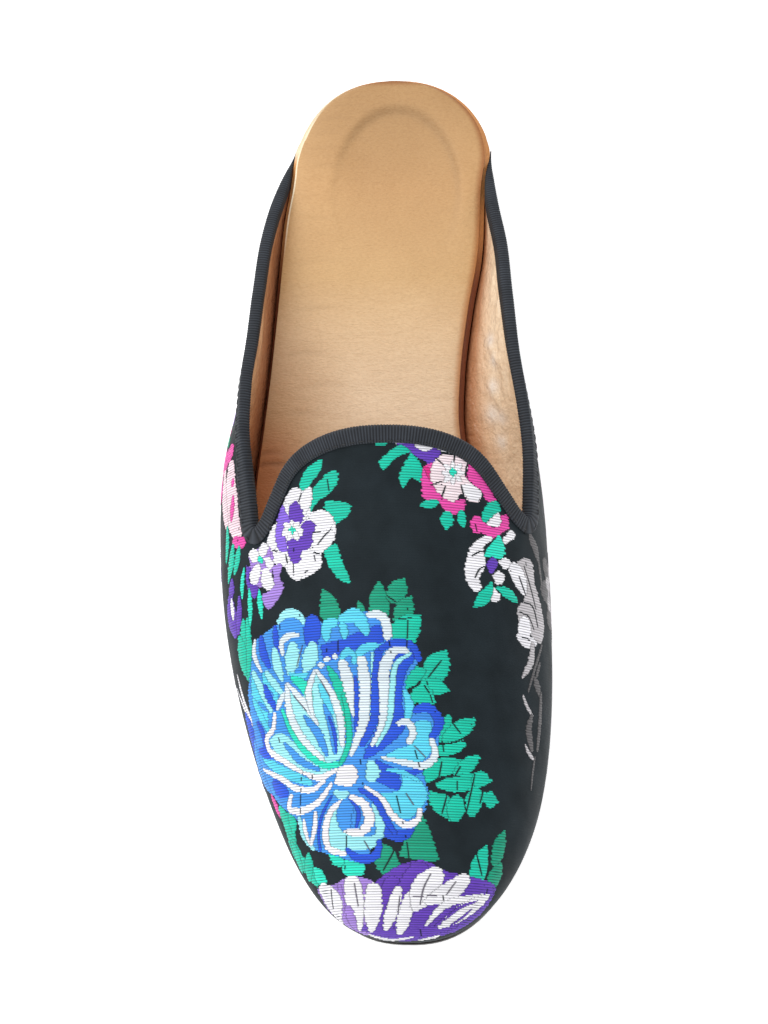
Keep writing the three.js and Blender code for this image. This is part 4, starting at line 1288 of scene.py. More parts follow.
def stroke_outline(path, start, middle, end):
    line = smooth_line(path, STROKE_POINTS, start / 2, end / 2)
    run = unit(np.gradient(line, axis=0))
    side = np.stack([-run[:, 1], run[:, 0]], axis=-1)
    t = np.linspace(0, 1, STROKE_POINTS)
    bulge = 2 * middle - (start + end) / 2
    half = ((1 - t) ** 2 * start + 2 * t * (1 - t) * bulge + t**2 * end) / 2
    half = np.maximum(half, LEAST_HALF)[:, None]
    tip = line[-1] + half[-1] * (np.sin(TIP_ANGLES) * side[-1] + np.cos(TIP_ANGLES) * run[-1])
    root = line[0] - half[0] * (np.sin(TIP_ANGLES) * side[0] + np.cos(TIP_ANGLES) * run[0])
    return np.concatenate([line + side * half, tip, (line - side * half)[::-1], root])


def cloth_of_rows(places):
    places = np.asarray(places, float)
    return cloth_of(places[:, 0], places[:, 1])


def chart_on_cloth(chart, placing):
    rows = []
    for thread, *values in chart:
        sizes = [value for value in values if not isinstance(value, tuple)]
        rows.append((thread, sizes, values[len(sizes) :]))
    ends = np.cumsum([len(places) for _, _, places in rows])
    spots = np.split(placing([spot for _, _, places in rows for spot in places]), ends[:-1])
    outlines = []
    for (thread, sizes, _), path in zip(rows, spots):
        if sizes:
            outlines.append((thread, stroke_outline(path, *sizes)))
        else:
            around = np.concatenate([path, path[:1]])
            outlines.append((thread, smooth_line(around, CORNER_POINTS * len(path))))
    return outlines


def rosette(station, girth, radius, petals, threads):
    centre = cloth_of([station], [girth])[0]
    outlines = []
    for ring, thread in enumerate(threads[:-1]):
        size = radius * (1 - RING_SHRINK * ring)
        widths = [size * share for share in PETAL_WIDTHS]
        for k in range(petals):
            angle = (k + ring / 2) * 2 * math.pi / petals
            way = np.array([math.cos(angle), math.sin(angle)])
            path = [centre + way * size * share for share in PETAL_PLACES]
            outlines.append((thread, stroke_outline(path, *widths)))
    across = np.array([radius * EYE_HALF, 0])
    eye = stroke_outline([centre - across, centre + across], *[radius * EYE_WIDTH] * 3)
    return outlines + [(threads[-1], eye)]


def motif_outlines():
    outlines = chart_on_cloth(WALL_STROKES, cloth_of_rows)
    for row in ROSETTES:
        outlines += rosette(*row)
    charts = SIDE_FLOWERS + LEAVES + PETALS + PEONY + TOE_FLOWER + THROAT_FLOWERS + SCROLL
    return outlines + chart_on_cloth(charts, cloth_of_pixels)


def cloth_outline():
    toe = np.linspace(FOOT_TOE_START, TOE_LAST, FOOT_TOE_STEPS)
    stations = np.append(np.linspace(QUARTER_END, TOE_CLOSE, FOOT_STEPS), toe)
    edge = np.full(len(stations), float(FEATHER_GIRTH))
    lateral = np.stack([stations, -edge], axis=-1)
    medial = np.stack([stations[::-1], edge], axis=-1)
    loop = np.concatenate([topline_path()[::-1], lateral, medial])
    return cloth_of(loop[:, 0], loop[:, 1])


def spans(outline, along):
    after = np.roll(outline, -1, axis=0)
    cut = (outline[:, 1] <= along) != (after[:, 1] <= along)
    share = (along - outline[cut, 1]) / (after[cut, 1] - outline[cut, 1])
    places = np.sort(outline[cut, 0] + share * (after[cut, 0] - outline[cut, 0]))
    return list(zip(places[::2], places[1::2]))


def paint(runs, start, end, thread):
    kept = []
    for a, b, other in runs:
        if b <= start or a >= end:
            kept.append((a, b, other))
            continue
        if a < start:
            kept.append((a, start, other))
        if b > end:
            kept.append((end, b, other))
    kept.append((start, end, thread))
    return kept


def feathered(start, end, number):
    reach = END_FEATHER * min(1, (end - start) / FULL_FEATHER)
    longer = LONGER_WEFT if number // 2 % 2 else -LONGER_WEFT
    pull = random.Random(number // 2 * WEFT_SEED + int(start * PLACE_SEED))
    start -= reach * (longer + pull.uniform(-END_PULL, END_PULL))
    end += reach * (longer + pull.uniform(-END_PULL, END_PULL))
    return start, end


def bound_floats(start, end, along):
    if end - start < BIND_SPACING:
        return [(start, end)]
    first, last = int(start / BIND_SPACING) - 1, int(end / BIND_SPACING) + 2
    cuts = []
    for line in range(first, last):
        place = line * BIND_SPACING + BIND_SWAY * math.sin(along / SWAY_LENGTH + line * SWAY_TURN)
        shown = math.sin(along / SHOW_LENGTH + line * SHOW_TURN) > SHOW_LEVEL
        if shown and start + BIND_MARGIN < place < end - BIND_MARGIN:
            cuts.append(place)
    edges = [start] + [place + side * BIND_GAP / 2 for place in cuts for side in (-1, 1)] + [end]
    return list(zip(edges[::2], edges[1::2]))


def weft_rows(outlines, border):
    limits = [(outline[:, 1].min(), outline[:, 1].max()) for _, outline in outlines]
    rows = []
    for number, along in enumerate(np.arange(RIDGE_ARCS[0], RIDGE_ARCS[-1], WEFT_PITCH / 2)):
        painted = []
        for (thread, outline), (low, high) in zip(outlines, limits):
            if low <= along <= high:
                for start, end in spans(outline, along):
                    start, end = feathered(start, end, number)
                    if end > start:
                        painted = paint(painted, start, end, thread)
        kept = []
        for left, right in spans(border, along):
            for start, end, thread in painted:
                start, end = max(start, left), min(end, right)
                if end - start > SHORTEST_FLOAT and thread != "vein":
                    kept += [(a, b, thread) for a, b in bound_floats(start, end, along)]
        rows.append((along, kept))
    return rows


# Half of a float across its thread: place in pitches, height and tone. The tone is painted shade in the
# groove between wefts and a painted highlight along the crest.
HALF_FLOAT = [(-0.25, 0.2, 0.34), (0.0, 0.9, 0.98), (0.25, 1.0, 1.06)]


def float_places(start, end):
    dip = min(FLOAT_DIP, (end - start) / 4)
    inner = np.linspace(start + dip, end - dip, max(2, int((end - start) / FLOAT_STEP) + 1))
    return np.concatenate([[start], inner, [end]])


def row_tones(row, counts, weft_shade, dips):
    threads = np.repeat([THREADS[thread] for _, _, thread in row], counts, axis=0)
    shades = np.repeat([random.uniform(*FLOAT_SHADES) for _ in row], counts)
    # Painted shade where the floats dip into the cloth
    return threads * (shades * weft_shade * np.where(dips, DIP_SHADE, 1))[:, None]


def float_mesh(rows):
    random.seed(SEED + 1)
    weft_shades = [random.uniform(*WEFT_SHADES) for _ in range(len(rows) // 2 + 1)]
    points, colours, cloth, faces = [], [], [], []
    total = 0
    for number, (along, row) in enumerate(rows):
        if not row:
            continue
        runs = [float_places(start, end) for start, end, _ in row]
        across = np.concatenate(runs)
        width = len(across)
        counts = [len(run) for run in runs]
        ends = np.cumsum(counts)
        dips = np.zeros(width, bool)
        dips[ends - 1] = dips[ends[:-1]] = dips[0] = True
        tones = row_tones(row, counts, weft_shades[number // 2], dips)
        profile = HALF_FLOAT if number % 2 == 0 else [(-o, h, t) for o, h, t in reversed(HALF_FLOAT)]
        for offset, height, tone in profile:
            level = np.clip(along + offset * WEFT_PITCH, 0, RIDGE_ARCS[-1] - TOE_CLEAR)
            station = np.full(width, station_of(level))
            girth = np.interp(across, girth_arcs(station[:1])[0], GIRTHS)
            points.append(off_face(station, girth, height * FLOAT_HEIGHT * np.where(dips, DIP_HEIGHT, 1)))
            # Painted shade in the grooves and painted highlight on the crests of the floats
            colours.append(tones * tone)
            cloth.append(np.stack([across, np.full(width, level)], axis=-1))
        joins = np.setdiff1d(np.arange(width - 1), ends - 1)
        for strip in range(len(profile) - 1):
            for a in joins + total + strip * width:
                faces.append((a, a + 1, a + 1 + width, a + width))
        total += width * len(profile)
    return np.concatenate(points), np.concatenate(colours), np.concatenate(cloth), faces


# Square of cloth, in mm, that the floats' texture space takes up
CLOTH_SPREAD = 280
CLOTH_START = 5


def make_brocade():
    points, colours, cloth, faces = float_mesh(weft_rows(motif_outlines(), cloth_outline()))
    piece = new_piece("brocade_floats", points, faces, floss())
    add_tone(piece, "Floss", colours)
    add_uv(piece, "OFBake", (cloth + [CLOTH_SPREAD / 2, CLOTH_START]) / CLOTH_SPREAD)


# Upper: black satin ground outside, tan leather lining inside
CLOTH_SHARE = 0.5
LINING_CLEAR = 0.02
LINING_FOLD_DEPTH = 0.0014
LINING_BLEND = (-0.4, 0.4)
FOLD_WIDTH = 1.2
FOLD_ENDS = (0.15, 0.85)

# Lining's tone from the topline to the foot on each side: girth and colour. The lateral side carries painted
# shade and the medial side painted light, and both darken with painted shade towards the foot.
LINING_SHADED_TONES = {
    -1: [(0.8, (255, 222, 182)), (1.1, (250, 206, 162)), (1.5, (206, 146, 106)), (2, (126, 74, 50))],
    1: [(1.6, (255, 232, 202)), (1.76, (246, 212, 178)), (1.88, (206, 150, 110)), (2, (142, 88, 58))],
}

# Painted highlights in the lining: station, girth and radius in mm
LINING_HIGHLIGHT_TINT = tint(255, 246, 236)
LINING_HIGHLIGHTS = [
    (82, 1.62, 2),
    (88, 1.56, 1.8),
    (95, 1.6, 2.2),
    (102, 1.66, 2.6),
    (104, 1.52, 2),
    (110, 1.6, 2),
]

# Soft ridges in the lining: height in mm and two (station, girth) ends
LINING_FOLDS = [
    (0.8, (70, 1.34), (80, 1.48)),
    (0.9, (78, 1.32), (88, 1.44)),
    (0.8, (84, 1.62), (92, 1.38)),
    (1, (90, 1.32), (99, 1.46)),
    (0.9, (93, 1.66), (103, 1.48)),
    (0.8, (99, 1.32), (106, 1.52)),
    (0.5, (60, 1.5), (71, 1.62)),
    (0.6, (108, 1.34), (116, 1.58)),
    (0.4, (72, -1.3), (90, -1.36)),
    (0.5, (106, -1.2), (114, -1.6)),
    (0.4, (118, -1.3), (124, -1.7)),
]


def lining_folds(cloth):
    raised = np.zeros(len(cloth))
    for height, *ends in LINING_FOLDS:
        start, end = cloth_of_rows(ends)
        run = end - start
        share = np.clip((cloth - start) @ run / (run @ run), 0, 1)
        away = np.linalg.norm(cloth - start - share[:, None] * run, axis=1)
        swell = np.sin(math.pi * np.clip(share, *FOLD_ENDS))
        raised += height * swell * np.exp(-((away / FOLD_WIDTH) ** 2))
    return raised


def lining_tone_and_light(girth, cloth):
    # Painted shade on the lateral side and towards the foot, painted light on the medial side
    lateral, medial = (tone_along(LINING_SHADED_TONES[side], np.abs(girth)) for side in (-1, 1))
    tone = lerp(lateral, medial, smoothstep(girth, *LINING_BLEND)[:, None])
    # Painted highlights in soft round spots
    for station, at, radius in LINING_HIGHLIGHTS:
        away = np.linalg.norm(cloth - cloth_of_rows([(station, at)]), axis=1)
        tone = lerp(tone, LINING_HIGHLIGHT_TINT, np.exp(-((away / radius) ** 2))[:, None])
    return tone


def make_upper():
    sheet, faces = upper_sheet()
    station, girth = sheet[:, 0], sheet[:, 1]
    wall = wall_at(station)
    cloth = cloth_of(station, girth)
    outer = face(station, girth)
    middle = off_face(station, girth, -wall * CLOTH_SHARE)
    points, closed = shell(outer, middle, faces)
    upper = new_piece("upper_cloth", points, closed, satin(), "upper")
    add_uv(upper, "Cloth", np.concatenate([cloth, cloth]) * MM)
    lining = off_face(station, girth, -wall * CLOTH_SHARE - LINING_CLEAR)
    inner = off_face(station, girth, -wall - lining_folds(cloth))
    points, closed = shell(lining, inner, faces)
    tan = leather(
        "lining_leather", rgb(236, 228, 220), WHITE, roughness=0.26, tone="Tone", wrinkle=0.8, gloss=0.9,
        pebble=1.0, fold=LINING_FOLD_DEPTH,
    )
    piece = new_piece("upper_lining", points, closed, tan)
    add_tone(piece, "Tone", np.tile(lining_tone_and_light(girth, cloth), (2, 1)))


# Ribbed binding folded over the topline
BINDING_THICK = 0.6
BINDING_NEAR = 0.2
BINDING_LEG = 4
BINDING_TAPER = 12
BINDING_END = 0.05
LATERAL_LEG = 2.5
LATERAL_LEG_REACH = (98, 118)
LAST_GIRTH = 1.998
RIB_PITCH = 0.82
RIB_STEPS = 4
RIB_HEIGHT = 0.2
# Painted highlight on the crests of the ribs and painted shade in their grooves
RIB_CREST_HIGHLIGHT = tint(62, 67, 75)
RIB_GROOVE_SHADE = tint(22, 24, 28)
DOWN_STEPS = 12

# Across the binding: the leg's shares with the rise of its ribs, then the turn over the edge
LEG_PROFILE = [(1.0, 0.55), (0.97, 0.9), (0.75, 1), (0.5, 1), (0.25, 1), (0, 1)]
FOLD_ANGLES = np.linspace(0, math.pi, 9)[1:-1]
FOLD_INSIDE = 0.8
HALF_LEG = 0.5


def step_on_face(station, girth, direction, distance):
    along, around, _ = face_frame(station, girth)
    aa, ab, bb = (along * along).sum(-1), (along * around).sum(-1), (around * around).sum(-1)
    da, db = (direction * along).sum(-1) * distance, (direction * around).sum(-1) * distance
    area = aa * bb - ab * ab
    girth = np.clip(girth + (db * aa - da * ab) / area, -LAST_GIRTH, LAST_GIRTH)
    return station + (da * bb - db * ab) / area, girth


def down_from_edge(station, girth, beyond, length):
    for _ in range(DOWN_STEPS):
        station, girth = step_on_face(station, girth, beyond, -length / DOWN_STEPS)
    return station, girth


def topline_frame(spacing):
    path = topline_path()
    reach = path_lengths(face(path[:, 0], path[:, 1]))
    at = np.linspace(0, reach[-1], int(reach[-1] / spacing) + 1)
    station, girth = np.interp(at, reach, path[:, 0]), np.interp(at, reach, path[:, 1])
    edge = face(station, girth)
    normal = face_frame(station, girth)[2]
    beyond = unit(np.cross(normal, unit(np.gradient(edge, axis=0))))
    leg = lerp(LATERAL_LEG, BINDING_LEG, smoothstep(at, *LATERAL_LEG_REACH))
    return station, girth, edge, normal, beyond, leg


def binding_profile():
    rows = [("outer", share, rise, 1) for share, rise in LEG_PROFILE]
    rows += [("fold", math.sin(angle), math.cos(angle), 1) for angle in FOLD_ANGLES]
    rows += [("inner", share, rise, 1) for share, rise in reversed(LEG_PROFILE)]
    rows += [("inner", share, 0, 0) for share in (1, HALF_LEG)]
    rows += [("fold", 1, -FOLD_INSIDE, 0), ("fold", 1, FOLD_INSIDE, 0)]
    rows += [("outer", share, 0, 0) for share in (HALF_LEG, 1)]
    return rows


def make_binding():
    station, girth, edge, normal, beyond, leg = topline_frame(RIB_PITCH / RIB_STEPS)
    wall = wall_at(station)
    grown = lerp(BINDING_END, 1, smoothstep(station, QUARTER_END, QUARTER_END + BINDING_TAPER))
    crest = (np.cos(np.arange(len(station)) * 2 * math.pi / RIB_STEPS) + 1) / 2
    outer_leg = np.minimum(leg * grown, edge[:, 2] - feather_height(station) - GAP)
    inner_leg = np.clip(edge[:, 2] - board_top(station) - GAP, GAP, leg * grown)
    rings = []
    for part, reach, rise, ribbed in binding_profile():
        thick = BINDING_THICK * grown - RIB_HEIGHT * (1 - crest) * grown
        if part == "fold":
            far = BINDING_NEAR * grown + thick * ribbed
            across = lerp(-wall - far, far, (rise + 1) / 2)
            rings.append(edge + beyond * (far * reach)[:, None] + normal * across[:, None])
            continue
        length = (outer_leg if part == "outer" else inner_leg) * reach
        s, g = down_from_edge(station, girth, beyond, length)
        off = BINDING_NEAR * grown + thick * rise
        rings.append(off_face(s, g, off if part == "outer" else -wall - off))
    points = np.stack(rings, axis=1)
    rows, columns = points.shape[:2]
    piece = new_piece(
        "grosgrain_binding", points.reshape(-1, 3), tube_faces(rows, columns), grosgrain(),
        "topline_binding",
    )
    # Painted highlight on the rib crests and painted shade in the grooves
    add_tone(piece, "Rib", np.repeat(lerp(RIB_GROOVE_SHADE, RIB_CREST_HIGHLIGHT, crest[:, None]), columns, axis=0))


# Stitches near the outer edge of the binding
STITCH_PITCH = 2.6
STITCH_LENGTH = 1.7
STITCH_RADIUS = 0.2
STITCH_DOWN = 0.84
STITCH_SIDES = np.linspace(0, 2 * math.pi, 6, endpoint=False)[:, None]

# Rings of a stitch: shares of its length from the middle, and of its radius
STITCH_RINGS = [(-0.5, 0.3), (-0.3, 1), (0.3, 1), (0.5, 0.3)]


def make_stitches():
    station, girth, _, _, beyond, leg = topline_frame(STITCH_PITCH)
    keep = station > QUARTER_END + BINDING_TAPER
    station, girth, beyond = station[keep], girth[keep], beyond[keep]
    s, g = down_from_edge(station, girth, beyond, leg[keep] * STITCH_DOWN)
    normal = face_frame(s, g)[2]
    run = unit(np.cross(beyond, normal))
    middle = off_face(s, g, np.full(len(s), BINDING_NEAR + BINDING_THICK - RIB_HEIGHT / 2))
    tube = tube_faces(len(STITCH_RINGS), len(STITCH_SIDES))
    points, faces = [], []
    for centre, out, way, edge in zip(middle, normal, run, beyond):
        first = len(points)
        ring = np.cos(STITCH_SIDES) * edge + np.sin(STITCH_SIDES) * out
        for along, size in STITCH_RINGS:
            points += list(centre + way * along * STITCH_LENGTH + ring * STITCH_RADIUS * size)
        faces += [tuple(first + k for k in f) for f in tube]
    new_piece("binding_stitches", points, faces, thread_black())


# Slabs that follow the sole. Their stations lie closer together at both round ends.
FIRST_ANGLE = math.radians(1)
LAST_ANGLE = math.radians(89)


def heel_stations(back, count):
    return HEEL_ROUND - (HEEL_ROUND - back) * np.cos(np.linspace(FIRST_ANGLE, math.pi / 2, count))


def slab_stations(back, tip, fine):
    toe = np.linspace(0, LAST_ANGLE, fine)
    return np.concatenate([
        heel_stations(back, fine),
        np.linspace(HEEL_ROUND, BALL_STATION, fine * 2)[1:-1],
        BALL_STATION + (tip - BALL_STATION) * np.sin(toe),
    ])


def slab(stations, edges, columns, top, bottom):
    lateral, medial = edges(stations)
    u = columns[None, :]
    x = lerp(lateral[:, None], medial[:, None], (u + 1) / 2)
    y = np.broadcast_to(LENGTH / 2 - stations[:, None], x.shape)
    levels = []
    for height in (top, bottom):
        z = height(stations[:, None] + 0 * x, x, u + 0 * x)
        levels.append(np.stack([x, y, z], axis=-1).reshape(-1, 3))
    faces = [f[::-1] for f in strip_faces(len(stations), len(columns))]
    return shell(levels[0], levels[1], faces)


def level(height):
    return lambda station, x, u: height(station)


def layer_ends(layer):
    back = SOLE_MARGIN + float(INSETS[layer](0))
    return back, SOLE_TIP - SOLE_MARGIN - float(INSETS[layer](LENGTH))


def layer_edges(layer, station):
    return sole_edges(station, SOLE_MARGIN + INSETS[layer](station), *layer_ends(layer))


def edge_columns(count):
    return np.sin(np.linspace(-math.pi / 2, math.pi / 2, count))


# Sock: padded leather with a dish under the heel and shallow cross creases
SOCK_COLUMNS = 81
SOCK_FINE = 90
SOCK_EDGE_POWER = 10
SOCK_GRAIN_STRETCH = (1.1, 2.4, 1)
SOCK_RIM = tint(250, 232, 200)
RIM_START = (7, 17)
RIM_END = (44, 58)
RIM_WIDTH = 0.5
CREASE_WIDTH = 0.9
CREASE_CURVE = 0.02
# Painted shade in the creases, growing with their depth
CREASE_SHADING = 3.2

# Dish: how dark it is and the painted shade of the line round its rim, where its edge and line lie, and where
# it runs out
DISH_DARK = 0.94
DISH_RIM_SHADE = 0.84
DISH_EDGE = (0.88, 1.01)
DISH_LINE_PLACE = 0.93
DISH_LINE_WIDTH = 0.06
DISH_OPENING = (26, 60)
DISH_SLOPE = (-22, -8)

# Leather's tone down the sock: station and colour
SOCK_TONES = [
    (0, (184, 144, 96)),
    (12, (190, 150, 102)),
    (35, (208, 165, 114)),
    (62, (210, 172, 122)),
    (100, (235, 208, 176)),
]
# Painted shade along the sock's heel and medial edges and in the lateral corner by the notch; the front share
# makes the lateral front darker and browner
SOCK_EDGE_SHADE = np.array([0.68, 0.46, 0.32])
SOCK_FRONT_SHADE = np.array([0.8, 0.68, 0.54])
SOCK_CORNER_SHADE = np.array([0.84, 0.58, 0.48])
SHADE_WIDTH = 2.2

# Where the shades at the front and in the lateral corner set in: stations and distances from the middle
FRONT_STATIONS = (72, 106)
FRONT_ACROSS = (6, 32)
CORNER_STATIONS = (98, 116)
CORNER_ACROSS = (20, 35)

# Creases: station, x of the middle, half length and depth in mm
SOCK_CREASES = [
    (7, -10, 9, 0.09),
    (9.5, -14, 8, 0.1),
    (11.5, -8, 10, 0.08),
    (13.5, -16, 8, 0.12),
    (16, -15, 9, 0.1),
    (18, -18, 7, 0.12),
    (20, -13, 9, 0.08),
    (22.5, -18, 8, 0.12),
    (25, -15, 9, 0.08),
    (28, -19, 7, 0.1),
    (44, -22, 8, 0.12),
    (57, -20, 10, 0.1),
    (71, -21, 9, 0.14),
    (84, -24, 10, 0.16),
    (88, 8, 12, 0.08),
    (93, -18, 14, 0.14),
    (97, 16, 9, 0.1),
    (101, -26, 8, 0.16),
    (104, -4, 16, 0.1),
    (112, -34, 7, 0.24),
    (115, -33, 8, 0.34),
]


def dish_share(station, x):
    along = (station - DISH["station"]) / DISH["half_length"]
    across = (x - DISH["x"]) / DISH["half_width"]
    out = np.hypot(along, across)
    kept = (1 - smoothstep(station, *DISH_OPENING)) * smoothstep(x, *DISH_SLOPE)
    # Where the painted shade round the rim lies
    line = np.exp(-(((out - DISH_LINE_PLACE) / DISH_LINE_WIDTH) ** 2))
    return kept * (1 - smoothstep(out, *DISH_EDGE)), kept * line


def sock_creases(station, x):
    depth = 0 * station
    for at, middle, half, deep in SOCK_CREASES:
        off = station - at - CREASE_CURVE * (x - middle) ** 2
        depth += deep * np.exp(-((off / CREASE_WIDTH) ** 2) - ((x - middle) / half) ** 2)
    return depth


def sock_top(station, x, u):
    heelward = np.clip((HEEL_ROUND - station) / HEEL_ROUND, 0, 1)
    edge = np.minimum(1, np.abs(u) ** SOCK_EDGE_POWER + heelward**SOCK_EDGE_POWER)
    dent = DISH["depth"] * dish_share(station, x)[0] + sock_creases(station, x)
    return sock_bottom(station) + SOCK_THICK - SOCK_EDGE_DROP * edge - dent


def sock_tone(points):
    station, x = LENGTH / 2 - points[:, 1], points[:, 0]
    back = layer_ends("sock")[0]
    lateral, medial = sole_edges(station, SOLE_MARGIN + INSETS["sock"](station), back, SOLE_TIP)
    inside, line = dish_share(station, x)
    # The dish is darker inside, and a line of painted shade runs round its rim
    dish = lerp(1, DISH_DARK, inside) * lerp(1, DISH_RIM_SHADE, line)
    tone = tone_along(SOCK_TONES, station) * dish[:, None]
    # Painted shade in the creases
    tone *= (1 - CREASE_SHADING * sock_creases(station, x) ** 2)[:, None]
    front = smoothstep(station, *FRONT_STATIONS) * smoothstep(-x, *FRONT_ACROSS)
    # Painted shade in the lateral corner by the notch
    corner = smoothstep(station, *CORNER_STATIONS) * smoothstep(-x, *CORNER_ACROSS)
    # Painted shade along the heel and medial edges, where the sock meets the walls
    edge = 1 - smoothstep(np.minimum(medial - x, station - back), 0, SHADE_WIDTH)
    shades = [(front, SOCK_FRONT_SHADE), (corner, SOCK_CORNER_SHADE), (edge, SOCK_EDGE_SHADE)]
    for share, shade in shades:
        tone *= lerp(1, shade, share[:, None])
    rim = smoothstep(station, *RIM_START) * (1 - smoothstep(station, *RIM_END))
    return lerp(tone, SOCK_RIM, ((x - lateral < RIM_WIDTH) * rim)[:, None])


def sock_edges(station):
    return layer_edges("sock", station)


def make_sock():
    stations = slab_stations(*layer_ends("sock"), SOCK_FINE)
    points, faces = slab(stations, sock_edges, edge_columns(SOCK_COLUMNS), sock_top, level(sock_bottom))
    tan = leather(
        "sock_leather", rgb(240, 235, 230), WHITE, roughness=0.5, stretch=SOCK_GRAIN_STRETCH, tone="Tone",
        wrinkle=0.5,
    )
    sock = new_piece("padded_sock", points, faces, tan, "sock")
    add_tone(sock, "Tone", sock_tone(points))


# Board wrapped in leather: pale at the heel's lateral corner, and painted shade where it lies in the crease
BOARD_COLUMNS = 9
BOARD_FINE = 50
BOARD_EDGE = tint(230, 166, 104)
BOARD_CREASE_SHADE = tint(138, 78, 50)
BOARD_CLEAR = 0.05
BOARD_MEET = (QUARTER_END - 3, QUARTER_END + 1)
BOARD_RELEASE = (138, 148)
PALE_ACROSS = (8, 18)
PALE_END = (22, 27)
CREASE_START = (40, 66)


def board_edges(station):
    lateral, medial = layer_edges("board", station)
    at = np.clip(station, QUARTER_END, BALL_STATION)
    inner = [off_face(at, side * FEATHER_GIRTH, -wall_at(at))[:, 0] - side * BOARD_CLEAR for side in (-1, 1)]
    share = smoothstep(station, *BOARD_MEET) * (1 - smoothstep(station, *BOARD_RELEASE))
    return lerp(lateral, inner[0], share), lerp(medial, inner[1], share)


def make_board():
    stations = slab_stations(*layer_ends("board"), BOARD_FINE)
    columns = edge_columns(BOARD_COLUMNS)
    points, faces = slab(stations, board_edges, columns, level(board_top), level(feather_height))
    wrap = leather("edge_leather", rgb(226, 214, 204), WHITE, roughness=0.42, tone="Tone")
    board = new_piece("board_edge", points, faces, wrap, "insole_board")
    station, x = LENGTH / 2 - points[:, 1, None], points[:, :1]
    pale = smoothstep(-x, *PALE_ACROSS) * (1 - smoothstep(station, *PALE_END))
    tone = lerp(BOARD_EDGE, SOCK_RIM, pale)
    # Painted shade where the board lies in the crease
    add_tone(board, "Tone", lerp(tone, BOARD_CREASE_SHADE, smoothstep(station, *CREASE_START)))


# Outsole, trimmed round the heel
SOLE_COLUMNS = 9
SOLE_FINE = 40
HEEL_TRIM = 1.3
TRIM_REACH = (26, 42)


def outsole_edges(station):
    trim = HEEL_TRIM * (1 - smoothstep(station, *TRIM_REACH))
    return sole_edges(station, trim, HEEL_TRIM, SOLE_TIP)


def make_outsole():
    stations = slab_stations(HEEL_TRIM, SOLE_TIP, SOLE_FINE)
    columns = edge_columns(SOLE_COLUMNS)
    points, faces = slab(stations, outsole_edges, columns, level(sole_top), level(sole_bottom))
    black = leather("sole_leather", rgb(22, 21, 20), rgb(44, 42, 40), roughness=0.5)
    new_piece("sole", points, faces, black, "outsole")


# Stacked heel with grooves between its lifts
HEEL_MIDDLE = 32
LIFT_GROOVE = 0.3
LIFT_LINES = (0.33, 0.66)
GROOVE_HALF = 0.03
HEEL_ROUND_STEPS = 40
HEEL_SIDE_STEPS = 12
BREAST_STEPS = 24


def heel_ring():
    sides = np.linspace(HEEL_ROUND, HEEL_BREAST, HEEL_SIDE_STEPS)[1:]
    stations = np.append(heel_stations(HEEL_INSET, HEEL_ROUND_STEPS), sides)
    lateral, medial = sole_edges(stations, HEEL_INSET, HEEL_INSET, SOLE_TIP)
    t = np.linspace(0, 1, BREAST_STEPS)[1:-1]
    x = np.concatenate([lateral, lerp(lateral[-1], medial[-1], t), medial[::-1]])
    breast = HEEL_BREAST - BREAST_HOLLOW * 4 * t * (1 - t)
    return x, np.concatenate([stations, breast, stations[::-1]])


def make_heel():
    x, station = heel_ring()
    low_x = x * (1 - HEEL_TAPER / float(SECTIONS["lat_feather"](HEEL_ROUND)))
    low_station = HEEL_BREAST + (station - HEEL_BREAST) * (1 - HEEL_TAPER / HEEL_BREAST)
    high = sole_bottom(station) - GAP
    levels = [(0, 0)]
    for line in LIFT_LINES:
        levels += [(line - GROOVE_HALF, 0), (line, LIFT_GROOVE), (line + GROOVE_HALF, 0)]
    rings = []
    for share, groove in levels + [(1, 0)]:
        inward = 1 - groove / HEEL_ROUND
        ring_x = lerp(low_x, x, share) * inward
        ring_station = HEEL_MIDDLE + (lerp(low_station, station, share) - HEEL_MIDDLE) * inward
        rings.append(np.stack([ring_x, LENGTH / 2 - ring_station, high * share], axis=-1))
    faces = [f[::-1] for f in tube_faces(len(rings), len(x))]
    stack = leather("heel_leather", rgb(20, 19, 18), rgb(40, 38, 36), roughness=0.42)
    new_piece("stacked_heel", np.concatenate(rings), faces, stack, "heel", smooth=False)


# Camera, lights, floor and room, in metres and watts
FLOOR_HALF = 3
FLOOR_GLOW = 0.5
ROOM_STRENGTH = 0.8

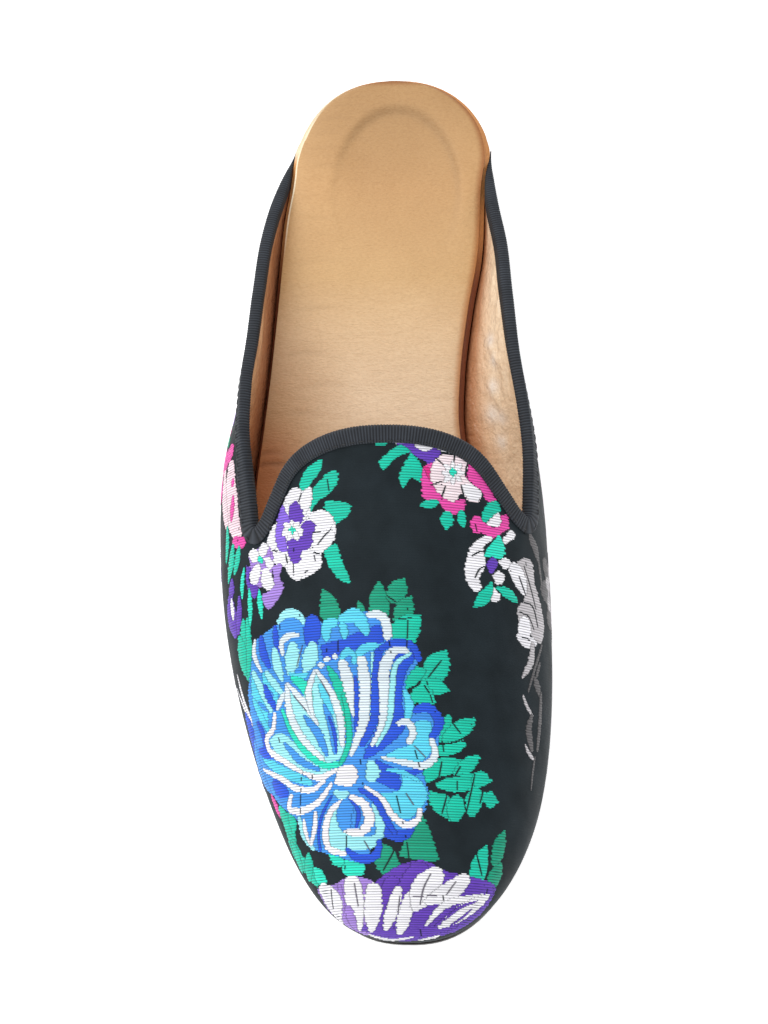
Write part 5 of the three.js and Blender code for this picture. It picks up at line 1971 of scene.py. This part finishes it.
# Each light: name, place, size, power and colour
LIGHTS = [
    ("window", (-0.8, 0.7, 1.2), 1.0, 9, (1, 0.98, 0.95)),
    ("front_fill", (-0.7, -1.0, 0.9), 1.2, 4, (0.97, 0.99, 1)),
    ("top", (0.1, 0.2, 1.6), 1.2, 4, (1, 1, 1)),
]


def make_camera():
    shift = SHOE_CENTRE_PX - PHOTO_CENTRE
    forward = Vector(unit(VIEW_RIGHT * shift[0] - VIEW_UP * shift[1] - VIEW_BACK * PHOTO_FOCAL))
    right = (Vector((1, 0, 0)) - forward * forward.x).normalized()
    up = right.cross(forward)
    data = bpy.data.cameras.new("photo_camera")
    data.sensor_width = SENSOR
    data.lens = PHOTO_FOCAL * SENSOR / PHOTO_LONG_SIDE
    camera = bpy.data.objects.new("photo_camera", data)
    turn = Matrix((right, up, -forward)).transposed().to_4x4()
    camera.matrix_world = Matrix.Translation(Vector(EYE * MM)) @ turn
    bpy.context.scene.collection.objects.link(camera)
    bpy.context.scene.camera = camera


def make_light(name, place, size, energy, colour):
    data = bpy.data.lights.new(name, "AREA")
    data.size = size
    data.energy = energy
    data.color = colour
    light = bpy.data.objects.new(name, data)
    light.location = place
    light.rotation_euler = (-Vector(place)).to_track_quat("-Z", "Y").to_euler()
    bpy.context.scene.collection.objects.link(light)


def make_floor():
    material = new_material(
        "white_floor", Base_Color=WHITE, Roughness=0.9, Emission_Color=WHITE, Emission_Strength=FLOOR_GLOW
    )[0]
    mesh = bpy.data.meshes.new("floor")
    corners = [(x * FLOOR_HALF, y * FLOOR_HALF, 0) for x, y in ((-1, -1), (1, -1), (1, 1), (-1, 1))]
    mesh.from_pydata(corners, [], [(0, 1, 2, 3)])
    mesh.materials.append(material)
    floor = bpy.data.objects.new("floor", mesh)
    bpy.context.scene.collection.objects.link(floor)


def make_room():
    room = bpy.data.worlds.new("white_room")
    bpy.context.scene.world = room
    room.use_nodes = True
    background = room.node_tree.nodes["Background"]
    background.inputs["Color"].default_value = WHITE
    background.inputs["Strength"].default_value = ROOM_STRENGTH
    bpy.context.scene.view_settings.view_transform = "Standard"


make_upper()
make_brocade()
make_binding()
make_stitches()
make_sock()
make_board()
make_outsole()
make_heel()
make_camera()
make_floor()
make_room()
for light in LIGHTS:
    make_light(*light)
